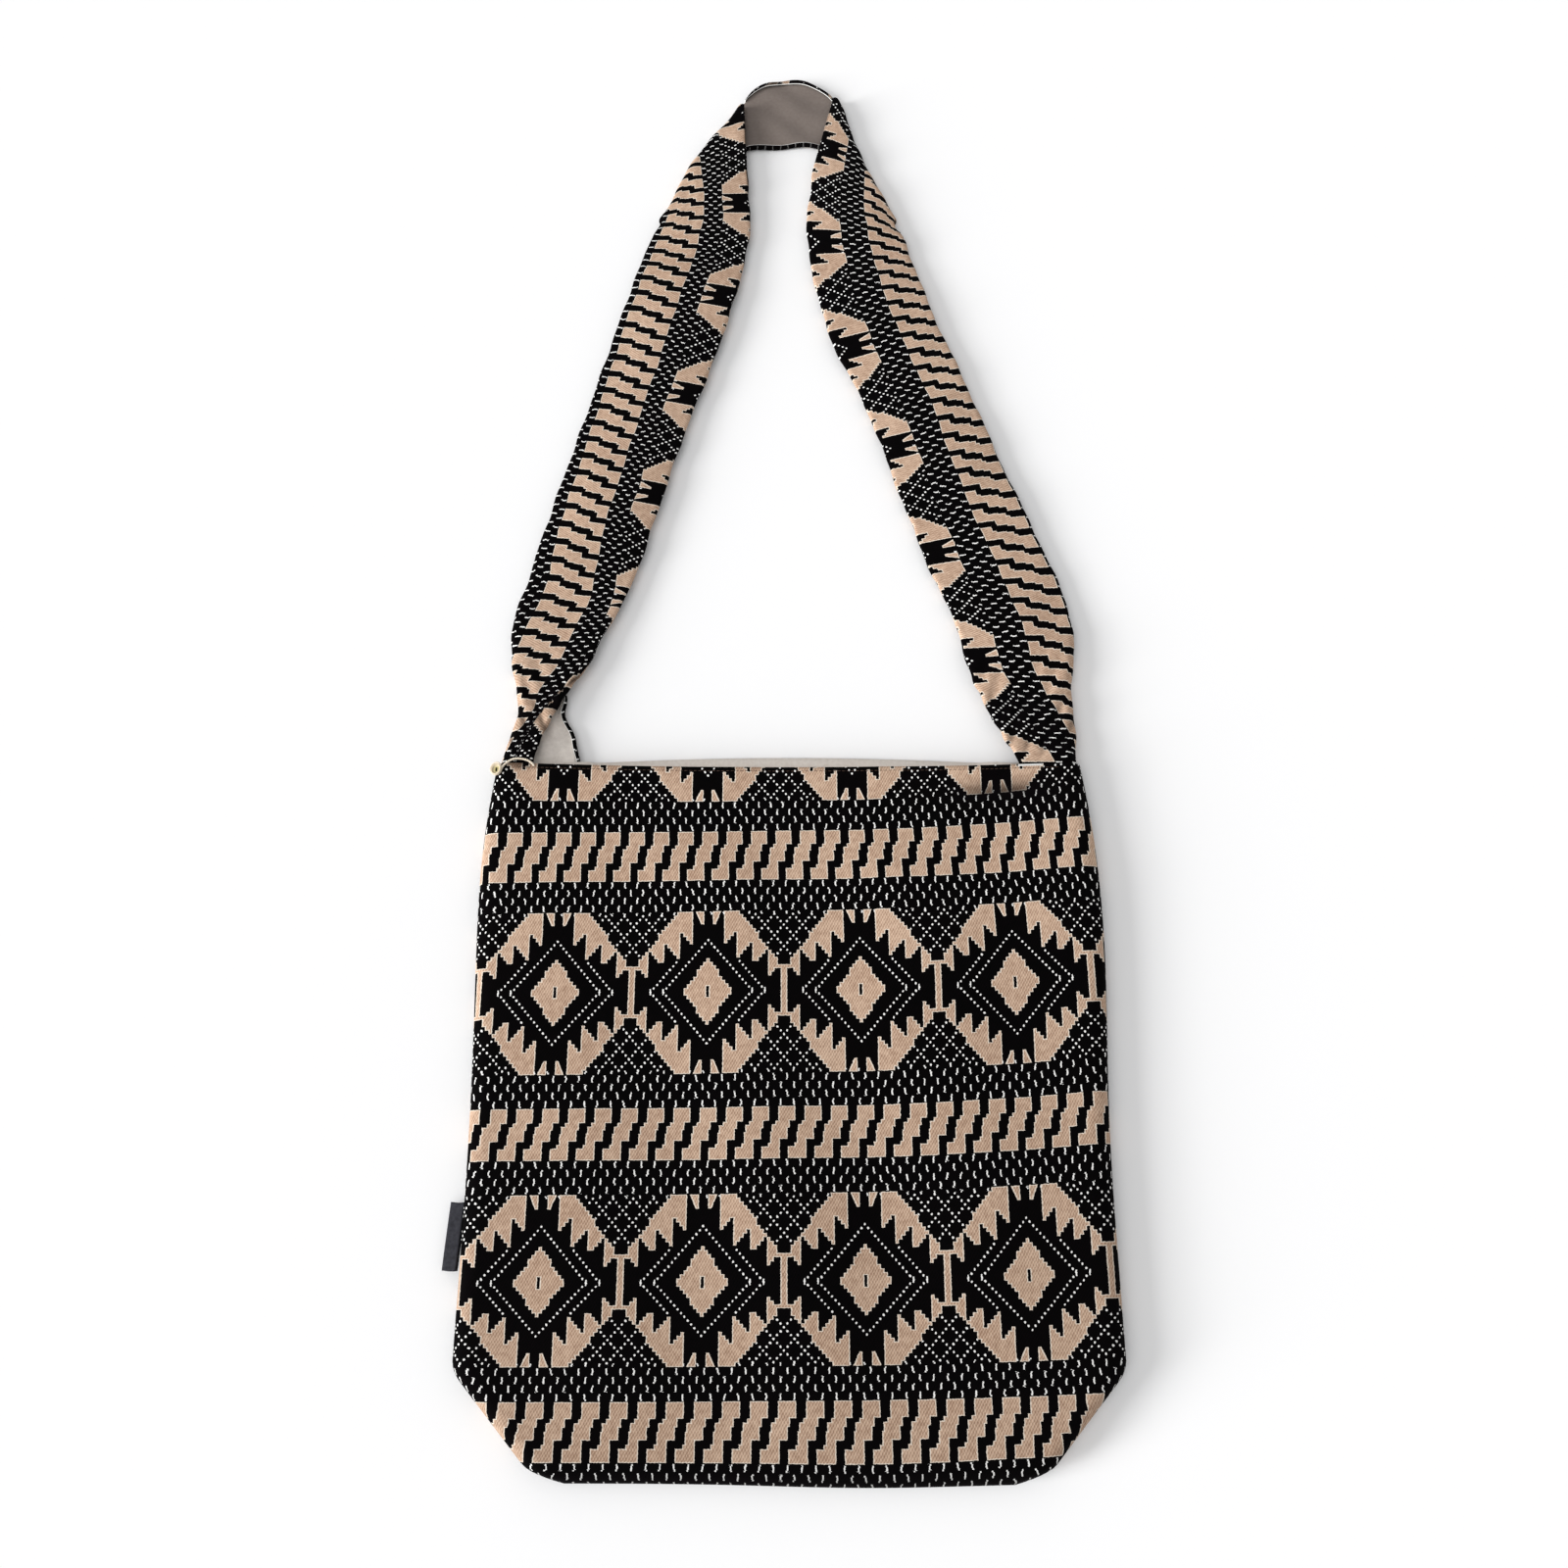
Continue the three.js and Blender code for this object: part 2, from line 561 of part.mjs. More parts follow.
// The blank label: a tape folded in two, its ends caught in the left side seam.
function sideLabel() {
  const ply = LABEL_PLY;
  const half = LABEL_PLY_GAP / 2 + ply;
  const profile = new THREE.Shape();
  profile.moveTo(0, half);
  profile.lineTo(half - LABEL_DEPTH, half);
  profile.absarc(half - LABEL_DEPTH, 0, half, Math.PI / 2, -Math.PI / 2, false);
  profile.lineTo(0, -half);
  profile.lineTo(0, ply - half);
  profile.lineTo(half - LABEL_DEPTH, ply - half);
  profile.absarc(half - LABEL_DEPTH, 0, half - ply, -Math.PI / 2, Math.PI / 2, true);
  profile.lineTo(0, half - ply);
  profile.closePath();
  const options = { depth: LABEL_WIDTH, bevelEnabled: false, curveSegments: 5 };
  const geometry = new THREE.ExtrudeGeometry(profile, options);
  geometry.translate(0, 0, -LABEL_WIDTH / 2);
  geometry.rotateX(Math.PI / 2);
  return geometry;
}

const label = piece('side_label', sideLabel(), COLOURS.label, 0.8);
const labelRoot = halfWidth(LABEL_HEIGHT) + TRIM_GAP + LABEL_DROOP;
label.position.set(-labelRoot, LABEL_HEIGHT, SEAM_HEIGHT);
label.rotation.y = -LABEL_DROOP;
bag.add(label);

// The corner button: a small domed disc with a raised rim and a slot across its middle, sewn to
// the turn of the front panel at the left end of the mouth.
function cornerButton() {
  const profile = [
    [0, 0],
    [BUTTON_RADIUS * 0.6, 0],
    [BUTTON_RADIUS, BUTTON_THICKNESS * 0.4],
    [BUTTON_RADIUS, BUTTON_THICKNESS * 0.75],
    [BUTTON_RADIUS - BUTTON_RIM / 2, BUTTON_THICKNESS],
    [BUTTON_RADIUS - BUTTON_RIM, BUTTON_THICKNESS * 0.8],
    [BUTTON_RADIUS * 0.4, BUTTON_THICKNESS * 0.65],
    [BUTTON_RADIUS * 0.15, BUTTON_THICKNESS * 0.3],
    [0, BUTTON_THICKNESS * 0.3],
  ];
  const geometry = new THREE.LatheGeometry(profile.map(([r, h]) => new THREE.Vector2(r, h)), 16);
  geometry.rotateX(Math.PI / 2);
  return geometry;
}

const BUTTON_TURN = (Math.PI / 2) * 0.5;
const button = piece('corner_button', cornerButton(), COLOURS.button, 0.6);
const buttonHeight = BAG_HEIGHT - BUTTON_DROP;
const mouthRise = MOUTH_HEIGHT - SEAM_HEIGHT;
const buttonNormal = new THREE.Vector3(
  -Math.cos(BUTTON_TURN) / SIDE_ROLL,
  0,
  Math.sin(BUTTON_TURN) / mouthRise,
).normalize();
button.position.set(
  -(halfWidth(buttonHeight) - SIDE_ROLL * (1 - Math.cos(BUTTON_TURN))),
  buttonHeight,
  SEAM_HEIGHT + mouthRise * Math.sin(BUTTON_TURN),
).addScaledVector(buttonNormal, TRIM_GAP);
button.quaternion.setFromUnitVectors(new THREE.Vector3(0, 0, 1), buttonNormal);
bag.add(button);

// The button's cord loop, fixed at the button and at the front rim, over the end of the strap.
// Its points are [distance in from the side seam, height over the rim, height over the table].
const LOOP_SEAT = MOUTH_HEIGHT + TRIM_GAP + LOOP_RADIUS;
const LOOP_ROUTE = [
  [8.4, -1.6, LOOP_SEAT],
  [10, 1.6, LOOP_SEAT + 0.6],
  [14, 3.4, LOOP_SEAT + 1],
  [18.5, 3.2, LOOP_SEAT + 0.8],
  [22, 1.4, LOOP_SEAT + 0.4],
  [24, -1.6, LOOP_SEAT],
];

function buttonLoop() {
  const section = new THREE.Shape();
  section.absarc(0, 0, LOOP_RADIUS, 0, Math.PI * 2, false);
  const points = LOOP_ROUTE.map(([x, y, z]) => overRim(x - BAG_HALF_WIDTH, y).setZ(z));
  const route = new THREE.CatmullRomCurve3(points);
  return new THREE.ExtrudeGeometry(section, { steps: 14, curveSegments: 4, extrudePath: route });
}

bag.add(piece('button_loop', buttonLoop(), COLOURS.cord, 0.8));

// The origin is at the middle of the whole outline, on the table.
const extent = new THREE.Box3().setFromObject(bag);
const middle = extent.getCenter(new THREE.Vector3());
bag.position.set(-middle.x, -middle.y, -extent.min.z);

export default bag;
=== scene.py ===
import bpy
import numpy as np
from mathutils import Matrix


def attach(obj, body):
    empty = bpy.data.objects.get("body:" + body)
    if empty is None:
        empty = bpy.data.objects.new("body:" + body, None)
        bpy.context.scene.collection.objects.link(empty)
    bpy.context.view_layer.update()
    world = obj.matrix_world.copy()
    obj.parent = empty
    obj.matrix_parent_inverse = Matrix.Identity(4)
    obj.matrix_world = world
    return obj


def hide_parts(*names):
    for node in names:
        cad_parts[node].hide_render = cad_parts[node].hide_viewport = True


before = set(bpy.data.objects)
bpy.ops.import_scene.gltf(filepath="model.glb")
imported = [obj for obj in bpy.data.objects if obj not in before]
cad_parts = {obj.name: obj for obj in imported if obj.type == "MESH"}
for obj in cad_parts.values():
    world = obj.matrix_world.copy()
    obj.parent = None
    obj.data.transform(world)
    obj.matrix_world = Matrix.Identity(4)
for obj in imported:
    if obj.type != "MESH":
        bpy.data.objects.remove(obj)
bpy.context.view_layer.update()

# Camera: where the photograph was taken from, 0.85 m above the lower half of the bag, turned 20
# degrees from straight down towards the strap.
lens = bpy.data.cameras.new("camera")
lens.lens = 31.69
lens.sensor_width = 36.0
camera = bpy.data.objects.new("camera", lens)
camera.location = (-0.00094, -0.4038, 0.8508)
camera.rotation_euler = (np.radians(20.0), 0.0, 0.0)
bpy.context.scene.collection.objects.link(camera)
bpy.context.scene.camera = camera
bpy.context.scene.view_settings.view_transform = "Standard"

# Floor: a pale sheet of matt card, 6 m square, laid just under the bag. It takes the bag's soft
# shadow and fades out to white.
reach = 3.0
under = -0.0004
card = bpy.data.meshes.new("floor")
card.from_pydata([(-reach, -reach, under), (reach, -reach, under),
                  (reach, reach, under), (-reach, reach, under)], [], [(0, 1, 2, 3)])
floor = bpy.data.objects.new("floor", card)
bpy.context.scene.collection.objects.link(floor)
pale = bpy.data.materials.new("pale_card")
pale.use_nodes = True
matt = pale.node_tree.nodes["Principled BSDF"]
matt.inputs["Base Color"].default_value = (0.965, 0.965, 0.97, 1)
matt.inputs["Roughness"].default_value = 0.95
matt.inputs["Specular IOR Level"].default_value = 0.1
card.materials.append(pale)

# Studio light: an even dome, a broad lamp over the left shoulder and two low ones from the left,
# which draw the soft shadow on the right of the bag and of the strap.
dome = bpy.data.worlds.new("studio")
bpy.context.scene.world = dome
dome.use_nodes = True
sky = dome.node_tree.nodes["Background"]
sky.inputs["Color"].default_value = (1.0, 1.0, 1.0, 1)
seen = dome.node_tree.nodes.new("ShaderNodeLightPath")
either = dome.node_tree.nodes.new("ShaderNodeMath")
either.operation = "MAXIMUM"
dome.node_tree.links.new(seen.outputs["Is Camera Ray"], either.inputs[0])
dome.node_tree.links.new(seen.outputs["Is Glossy Ray"], either.inputs[1])
level = dome.node_tree.nodes.new("ShaderNodeMapRange")
level.inputs["To Min"].default_value = 0.52
level.inputs["To Max"].default_value = 1.0
dome.node_tree.links.new(either.outputs[0], level.inputs["Value"])
dome.node_tree.links.new(level.outputs["Result"], sky.inputs["Strength"])
for name, strength, spread, turn in [("over_lamp", 0.52, 40.0, (0.30, -0.45, 0.0)),
                                     ("low_lamp", 2.35, 20.0, (0.17, -1.19, 0.0)),
                                     ("far_lamp", 1.7, 14.0, (0.34, -1.37, 0.0))]:
    lamp = bpy.data.lights.new(name, "SUN")
    lamp.energy = strength
    lamp.angle = np.radians(spread)
    light = bpy.data.objects.new(name, lamp)
    light.rotation_euler = turn
    bpy.context.scene.collection.objects.link(light)

# The jacquard cloth: black cotton ground, with tan figures and white dots woven in. Across the
# cloth a medallion comes every 48 threads; up it, a medallion and a candy stripe every 76 rows.


def pigment(red, green, blue):
    """A colour read off a screen, 0 to 255, as the light it sends back: the sRGB curve undone."""
    share = np.array([red, green, blue]) / 255.0
    return (*np.where(share < 0.04045, share / 12.92, ((share + 0.055) / 1.055) ** 2.4), 1.0)


class Reading:
    """A number that varies over the cloth. Each sign between two readings adds one Math node."""

    def __init__(self, tree, socket):
        self.tree = tree
        self.socket = socket

    def by(self, operation, *others):
        node = self.tree.nodes.new("ShaderNodeMath")
        node.operation = operation
        for place, value in zip(node.inputs, (self, *others)):
            if isinstance(value, Reading):
                self.tree.links.new(value.socket, place)
            else:
                place.default_value = value
        return Reading(self.tree, node.outputs[0])

    def __add__(self, other):
        return self.by("ADD", other)

    def __sub__(self, other):
        return self.by("SUBTRACT", other)

    def __mul__(self, other):
        return self.by("MULTIPLY", other)

    def __mod__(self, other):
        return self.by("FLOORED_MODULO", other)

    def __lt__(self, other):
        return self.by("LESS_THAN", other)

    def __gt__(self, other):
        return self.by("GREATER_THAN", other)

    def __abs__(self):
        return self.by("ABSOLUTE")

    def __neg__(self):
        return self * -1.0

    def whole(self):
        return self.by("FLOOR")

    def nearest(self):
        return self.by("ROUND")

    def least(self, other):
        return self.by("MINIMUM", other)

    def most(self, other):
        return self.by("MAXIMUM", other)

    def unless(self, other):
        return self * (-other + 1.0)

    def draft(self, span, steps):
        """Stepped lookup: the value of the last step whose start, from 0 to span, is passed."""
        ramp = self.tree.nodes.new("ShaderNodeValToRGB")
        ramp.color_ramp.interpolation = "CONSTANT"
        top = max(abs(value) for _, value in steps)
        stops = ramp.color_ramp.elements
        stops.remove(stops[1])
        for i, (start, value) in enumerate(steps):
            stop = stops[0] if i == 0 else stops.new(start / span)
            stop.position = start / span
            grey = max(0.0, value / top)
            stop.color = (grey, grey, grey, 1)
        self.tree.links.new((self * (1.0 / span)).socket, ramp.inputs["Fac"])
        return Reading(self.tree, ramp.outputs["Color"]) * top


def blend(tree, share, first, second):
    """A colour between two others: the first where share is 0, the second where it is 1."""
    node = tree.nodes.new("ShaderNodeMix")
    node.data_type = "RGBA"
    tree.links.new(share.socket, node.inputs[0])
    for place, value in ((node.inputs[6], first), (node.inputs[7], second)):
        if isinstance(value, tuple):
            place.default_value = value
        else:
            tree.links.new(value, place)
    return node.outputs[2]


def carried(tree, name):
    """A number that the piece's own mesh carries at each of its points."""
    node = tree.nodes.new("ShaderNodeAttribute")
    node.attribute_name = name
    return Reading(tree, node.outputs["Fac"])


def surface(tree, colour, roughness, gloss, height, strength, depth):
    """The shader of a cloth: one colour, matt, with the height of its threads as bump."""
    shader = tree.nodes["Principled BSDF"]
    tree.links.new(colour, shader.inputs["Base Color"])
    shader.inputs["Roughness"].default_value = roughness
    shader.inputs["Specular IOR Level"].default_value = gloss
    bump = tree.nodes.new("ShaderNodeBump")
    bump.inputs["Strength"].default_value = strength
    bump.inputs["Distance"].default_value = depth
    tree.links.new(height.socket, bump.inputs["Height"])
    tree.links.new(bump.outputs["Normal"], shader.inputs["Normal"])


REPEAT_THREADS = 48.0
REPEAT_ROWS = 76.0
HALF_ROWS = REPEAT_ROWS / 2
FULL_TURN = 6.2832
# Drafts, as steps. The first gives the row at which a medallion's tan begins, by threads from its
# middle. The other two give how far a candy leans, and where it ends, by rows down its stripe.
TOOTH_DRAFT = [(0, 30), (5, 12.8), (6, 13.8), (7, 14.8), (8, 15.8), (9, 9.0), (10, 10.0),
               (11, 11.0), (12, 12.0), (13, 13.0), (14, 7.6), (16, 8.6), (17, 9.6), (18, 10.8),
               (19, 3.8), (20, 4.8), (21, 6.0), (22, 6.0), (23, 0)]
CANDY_LEAN = [(0, 0), (4.2, 0.85), (5.3, 2.0), (7.5, 2.4), (9.7, 3.1), (10.5, 3.9), (11.3, 5.1)]
CANDY_STEP = [(0, 0), (4.0, 1.75), (6.2, 2.4), (9.4, 4.7)]
CANDY_HALF = 7.1
MEDALLION = 22.0
OUTLINE_START = 9.9
DASH_RISE = 2.2


def from_middles(thread, row):
    """Rows above the middle of the nearest candy stripe, then threads across and rows up or down
    from the middle of the nearest medallion."""
    off = (row + HALF_ROWS) % REPEAT_ROWS - HALF_ROWS
    return off, abs(thread % REPEAT_THREADS - REPEAT_THREADS / 2), -abs(off) + HALF_ROWS


def figures():
    """Node group for the tan figures, from a place on the cloth in threads and rows. A figure is
    wherever a row lies between the two ends that the draft gives for its thread."""
    tree = bpy.data.node_groups.new("tan_figures", "ShaderNodeTree")
    tree.interface.new_socket("thread", in_out="INPUT", socket_type="NodeSocketFloat")
    tree.interface.new_socket("row", in_out="INPUT", socket_type="NodeSocketFloat")
    tree.interface.new_socket("tan", in_out="OUTPUT", socket_type="NodeSocketFloat")
    given = tree.nodes.new("NodeGroupInput")
    thread = Reading(tree, given.outputs["thread"])
    row = Reading(tree, given.outputs["row"])
    off, wide, high = from_middles(thread, row)
    x = wide.whole() + 0.5
    y = high.whole() + 0.5
    outline = ((x - OUTLINE_START) * -1.16 + MEDALLION).least(MEDALLION)
    medallion = (y > x.draft(REPEAT_THREADS / 2, TOOTH_DRAFT)) * (y < outline.most(6.9))
    tip = (wide > 1.4) * (high > 18.4) * (high > (wide - 2.3) * 2.0 + 18.4) * (high < MEDALLION)
    heart = (wide.nearest() * (1 / 7.9) + y * (1 / 8.9)) < 1.0
    heart = heart.unless((wide < 0.46) * (high < 1.5))
    down = (-off + CANDY_HALF).whole() + 0.5
    lean = down.draft(15.0, CANDY_LEAN)
    width = lean - down.draft(15.0, CANDY_STEP) + 5.15
    stripe = ((thread + lean + 1.7) % 8.0 < width) * (abs(off) < CANDY_HALF)
    told = tree.nodes.new("NodeGroupOutput")
    tree.links.new(medallion.most(heart).most(tip).most(stripe).socket, told.inputs["tan"])
    return tree


def jacquard():
    """The cloth's material, on the UV map in threads across and rows up. Dots and dashes sit on
    whole threads. Where a figure stops within a third of a thread, its edge is paler."""
    material = bpy.data.materials.new("jacquard")
    material.use_nodes = True
    tree = material.node_tree
    laid = tree.nodes.new("ShaderNodeUVMap")
    laid.uv_map = "threads"
    split = tree.nodes.new("ShaderNodeSeparateXYZ")
    tree.links.new(laid.outputs["UV"], split.inputs[0])
    place = tree.nodes.new("ShaderNodeTexCoord")

    def cloud(scale, detail):
        noise = tree.nodes.new("ShaderNodeTexNoise")
        noise.inputs["Scale"].default_value = scale
        noise.inputs["Detail"].default_value = detail
        tree.links.new(place.outputs["Object"], noise.inputs["Vector"])
        return Reading(tree, noise.outputs["Fac"]) - 0.5

    slub = cloud(700.0, 1.0)
    thread = Reading(tree, split.outputs[0]) + slub * 0.45
    row = Reading(tree, split.outputs[1]) - slub * 0.35
    group = figures()

    def tan_at(across, up):
        use = tree.nodes.new("ShaderNodeGroup")
        use.node_tree = group
        tree.links.new((thread + across).socket, use.inputs["thread"])
        tree.links.new((row + up).socket, use.inputs["row"])
        return Reading(tree, use.outputs["tan"])

    tan = tan_at(0.0, 0.0)
    inside = tan_at(0.3, 0.2) * tan_at(-0.3, -0.2) * tan_at(-0.3, 0.2) * tan_at(0.3, -0.2)
    edge = tan.unless(inside)

    off, x, y = from_middles(thread, row)
    # dashes, four threads apart, in rows that are staggered by two threads. The two ends of each
    # dash jog to one side by chance, as the floats of the real cloth do.
    climb = (abs(off) - CANDY_HALF) * (1 / DASH_RISE)
    line = climb.whole()
    stagger = (line + (off < 0.0)) % 2.0
    column = (thread - 1.0 + stagger * 2.0) % 4.0 - 2.0
    tick = climb % 1.0
    chance = tree.nodes.new("ShaderNodeTexWhiteNoise")
    chance.noise_dimensions = "2D"
    cell = tree.nodes.new("ShaderNodeCombineXYZ")
    tree.links.new(((thread - column) * 0.5).nearest().socket, cell.inputs[0])
    tree.links.new((row - tick).nearest().socket, cell.inputs[1])
    tree.links.new(cell.outputs[0], chance.inputs["Vector"])
    parts = tree.nodes.new("ShaderNodeSeparateXYZ")
    tree.links.new(chance.outputs["Color"], parts.inputs[0])
    top_jog = (Reading(tree, parts.outputs[0]) - 0.5) * (tick > 0.7)
    low_jog = (Reading(tree, parts.outputs[1]) - 0.5) * (tick < 0.3)
    dash = (abs(column + (top_jog + low_jog) * 0.66) < 0.215) * (tick > 0.11) * (tick < 0.9)
    band = (abs(off) > CANDY_HALF) * (abs(off) < CANDY_HALF + 4 * DASH_RISE + 1.0)
    dash = dash * band
    # dots of the lattice between the medallions, and of the two diamonds inside them
    i = x.nearest()
    j = y.nearest()
    dot = ((x - i) * (x - i) + (y - j) * (y - j)) < 0.096
    crossing = (((i + j) % 6.0) < 0.5).most(((i - j) % 6.0) < 0.5)
    rim = (x - OUTLINE_START) * -1.15 + MEDALLION
    outside = (y > (rim + 1.0)) * (y < MEDALLION - 0.4)
    diamond = abs(i + j - 14.0) < 0.5
    second = (abs(i + j - 18.0) < 0.5) * (y < 8.5)
    within = (y < rim) * (y < 20.0)
    dots = dot * (crossing * outside).most(diamond.most(second) * within)
    post = (abs(x - 14.0).least(abs(x - 18.0)) < 0.2) * (y < 0.8)
    white = dash.most(dots).most(post).unless(tan).most(carried(tree, "selvage") > 0.5)

    # colours: mottled tan in a slanting twill, black with a little blue, uneven white
    mottle = cloud(300.0, 3.0)
    fade = cloud(14.0, 2.0)
    rib = ((thread * 1.12 - row * 0.73) * FULL_TURN).by("SINE")
    cross = ((thread * 1.12 + row * 0.73) * FULL_TURN).by("SINE")
    weft = (row * 3.0 * FULL_TURN).by("SINE")
    shade = rib * 0.34 + cross * 0.16 + mottle * 1.3 + fade * 0.7 + 0.5
    # painted shade: the shade attribute that the mesh carries darkens the finished colour towards
    # near black
    lit = -carried(tree, "shade") + 1.0
    body = blend(tree, shade, pigment(160, 129, 108), pigment(214, 185, 161))
    body = blend(tree, edge, body, pigment(231, 217, 201))
    ground = blend(tree, shade, pigment(1, 1, 1), pigment(5, 3, 4))
    colour = blend(tree, tan, ground, body)
    colour = blend(tree, white, colour, pigment(249, 248, 245))
    colour = blend(tree, lit, pigment(6, 4, 5), colour)
    raised = (tan * 0.7).most(white) + (rib * 0.16 + cross * 0.08) * tan
    raised = raised + weft * 0.06 + mottle * 0.3
    surface(tree, colour, 0.9, 0.03, raised, 0.5, 0.0004)
    return material


JACQUARD = jacquard()

# Front and back panel: two pieces of the jacquard, sewn together at the sides and base, with the
# base corners boxed. They are cut to one shape and turned over to the seams.
MM = 0.001
BAG_MIDDLE = np.array([2.061, -505.5, 0.0])      # the bag's middle, at its base seam
BAG_HEIGHT = 421.0
BAG_HALF_WIDTH = 190.0
SEAM_HEIGHT = 7.5                                # of the side seams, above the table
SIDE_ROLL = 12.0                                 # width over which the cloth turns to a side seam
BASE_ROLL = 10.0                                 # and to the base seam
SHELL_WALL = 1.2
BELLY_START = 127.0                              # the sides bow out above this height
BOX_CORNER = 57.0                                # the boxed corners are cut back below this one
MOUTH_BOW = {1: -3.5, -1: 8.0}                   # middle of each rim above its ends, front and back
SIDE_SWELL = 2.2                                 # how far the right side seam bulges out
BASE_SAG = 2.2                                   # how far the base seam hangs down
THREAD_PITCH = 1.9375
# The weave on the panels: height with the row that lies there, then place across with its rise.
ROW_PLACES = [(-16, -20), (11.2, -7.1), (41.6, 7.1), (103.5, 38), (170.9, 68.9), (200.6, 83.1),
              (269.9, 114), (340.0, 144.9), (373.3, 159.1), (395.6, 168), (436, 185)]
ROW_TILT = [(-190, -0.6), (-101, 0), (-50, 0.3), (-3, 1.3), (43, 1.8), (85, 3.3), (139, 6.7),
            (181, 10.5), (200, 11.5)]


def ease(value, low, high):
    """0 below low and 1 above high, with a smooth step between them."""
    share = np.clip((value - low) / (high - low), 0.0, 1.0)
    return share * share * (3.0 - 2.0 * share)


def half_width(y):
    """Middle to side seam at height y: straight, bowed out towards the mouth, and cut back over
    the boxed corner by 0.9 mm for each millimetre down, with both ends of the cut rounded."""
    above = np.clip((y - BELLY_START) / (BAG_HEIGHT - BELLY_START), 0.0, 1.0)
    belly = 5.5 * np.sin(np.pi * above ** 2.2)
    cut = BOX_CORNER - y
    bevel = 0.9 * np.where(np.abs(cut) < 6.0, (cut + 6.0) ** 2 / 24.0, np.maximum(0.0, cut))
    tuck = 15.0 * np.maximum(0.0, 1.0 - y / BASE_ROLL) ** 2
    return BAG_HALF_WIDTH + belly - bevel - tuck


def ripple(x, y):
    """Slack in the cloth: three slow waves that cross at angles, up to about 0.4 mm high."""
    return (0.20 * np.sin(x / 17.0 + y / 41.0) + 0.16 * np.sin(x / 29.0 - y / 13.0 + 1.3)
            + 0.12 * np.sin(x / 7.5 + y / 23.0 + 0.4) * np.sin(y / 31.0))


def front_height(x, y):
    """Front cloth above the table: 15 mm at the mouth, 16 below it, crowned 3 mm in the middle,
    with soft folds that run down and a little to the right."""
    rise = ease(BAG_HEIGHT - y, 34.0, 90.0)
    across = np.maximum(0.0, 1.0 - (x / BAG_HALF_WIDTH) ** 2)
    along = ease(y, 0.0, 114.0) * rise
    fold = np.sin(2.0 * np.pi * (x + 0.22 * y) / 118.0)
    height = 15.0 + rise + across * along * (3.0 + 1.3 * fold) + across * ripple(x, y)
    return height - 2.2 * crease_share(x, y)


def crease_share(x, y):
    """1 in the crease under the right end of the mouth, and 0 away from it: a bell curve, 36 mm
    long and 7 mm wide, that rises a little to the right."""
    return np.exp(-((x - 138.0) / 36.0) ** 2 - ((y - 402.0 - 0.06 * (x - 138.0)) / 7.0) ** 2)


def deep_shade(points):
    """Painted darkening of the panels' colour: a gradual share that grows towards the base, and
    painted shade where the cloth turns under at its seam, in the crease and under the button's
    loop."""
    x, y = points[:, :, 0], points[:, :, 1]
    under_loop = np.exp(-((x + 174.0) / 10.0) ** 2 - ((y - 419.0) / 3.0) ** 2)
    low = 0.2 - 0.2 * np.clip(y / 330.0, 0.0, 1.0) + 0.45 * (1.0 - ease(y, 0.0, 9.0))
    return np.maximum(low, np.maximum(0.85 * crease_share(x, y), 0.8 * under_loop))


def bag_cloth(face, inset, short=0.0, room=0.0, across=150, up=150):
    """One cloth of the bag as a grid of points. Across, it is flat and turns over to each side
    seam in a quarter of an ellipse, and the base turns over in the same way. face is 1 in front
    and -1 behind; inset is the distance inside the shell's outer face, and room adds to it beside
    the mouth, where the strap goes in. short lowers the rim."""
    turns = np.linspace(0.0, np.pi / 2, 9)
    lean = np.concatenate([turns, np.full(across, np.pi / 2), turns[::-1]])[None, :]
    base = np.concatenate([turns, np.full(up, np.pi / 2)])[:, None]
    level = np.concatenate([BASE_ROLL * (1.0 - np.cos(turns)),
                            np.linspace(BASE_ROLL, BAG_HEIGHT, up + 1)[1:]])[:, None]
    half = half_width(level)
    side = np.sign(np.linspace(-1.0, 1.0, lean.shape[1]))[None, :]
    share = np.concatenate([np.full(len(turns), -1.0), np.linspace(-1.0, 1.0, across + 2)[1:-1],
                            np.full(len(turns), 1.0)])[None, :]
    x = share * (half - SIDE_ROLL) + side * SIDE_ROLL * np.cos(lean)
    x = x + SIDE_SWELL * np.exp(-((level - 285.0) / 75.0) ** 2) * ease(share, 0.0, 1.0)
    beside = 1.0 - ease(half - np.abs(x), 55.0, 68.0)
    above = ease(level, BAG_HEIGHT - 32.0, BAG_HEIGHT - 20.0)
    inset = inset + room * beside * above
    x = x - side * inset * np.cos(lean)
    y = level + inset * np.cos(base)
    bow = np.maximum(0.0, 1.0 - (x / BAG_HALF_WIDTH) ** 2)
    y = y + ease(level, BAG_HEIGHT - 60.0, BAG_HEIGHT) * bow * MOUTH_BOW[face]
    y = y - short * ease(level, BAG_HEIGHT - 12.0, BAG_HEIGHT)
    y = y - BASE_SAG * np.exp(-((x - 45.0) / 75.0) ** 2) * (1.0 - ease(level, 0.0, 40.0))
    seam = SEAM_HEIGHT + face * 0.15
    reach = front_height(x, level) - seam if face > 0 else seam + 0.0 * x
    z = seam + face * (reach - inset) * np.sin(lean) * np.sin(base)
    around = side * SIDE_ROLL * (np.pi / 2 - lean) * 0.8 + share * (half - SIDE_ROLL)
    return np.stack([x, y, z], axis=2), around, level


def shift_of_rows(x, y):
    """How far the woven rows have drifted up at a place: more to the right, less at the base."""
    rise = np.interp(x, *zip(*ROW_TILT))
    return rise * (0.45 + 0.55 * ease(y, 40.0, 230.0))


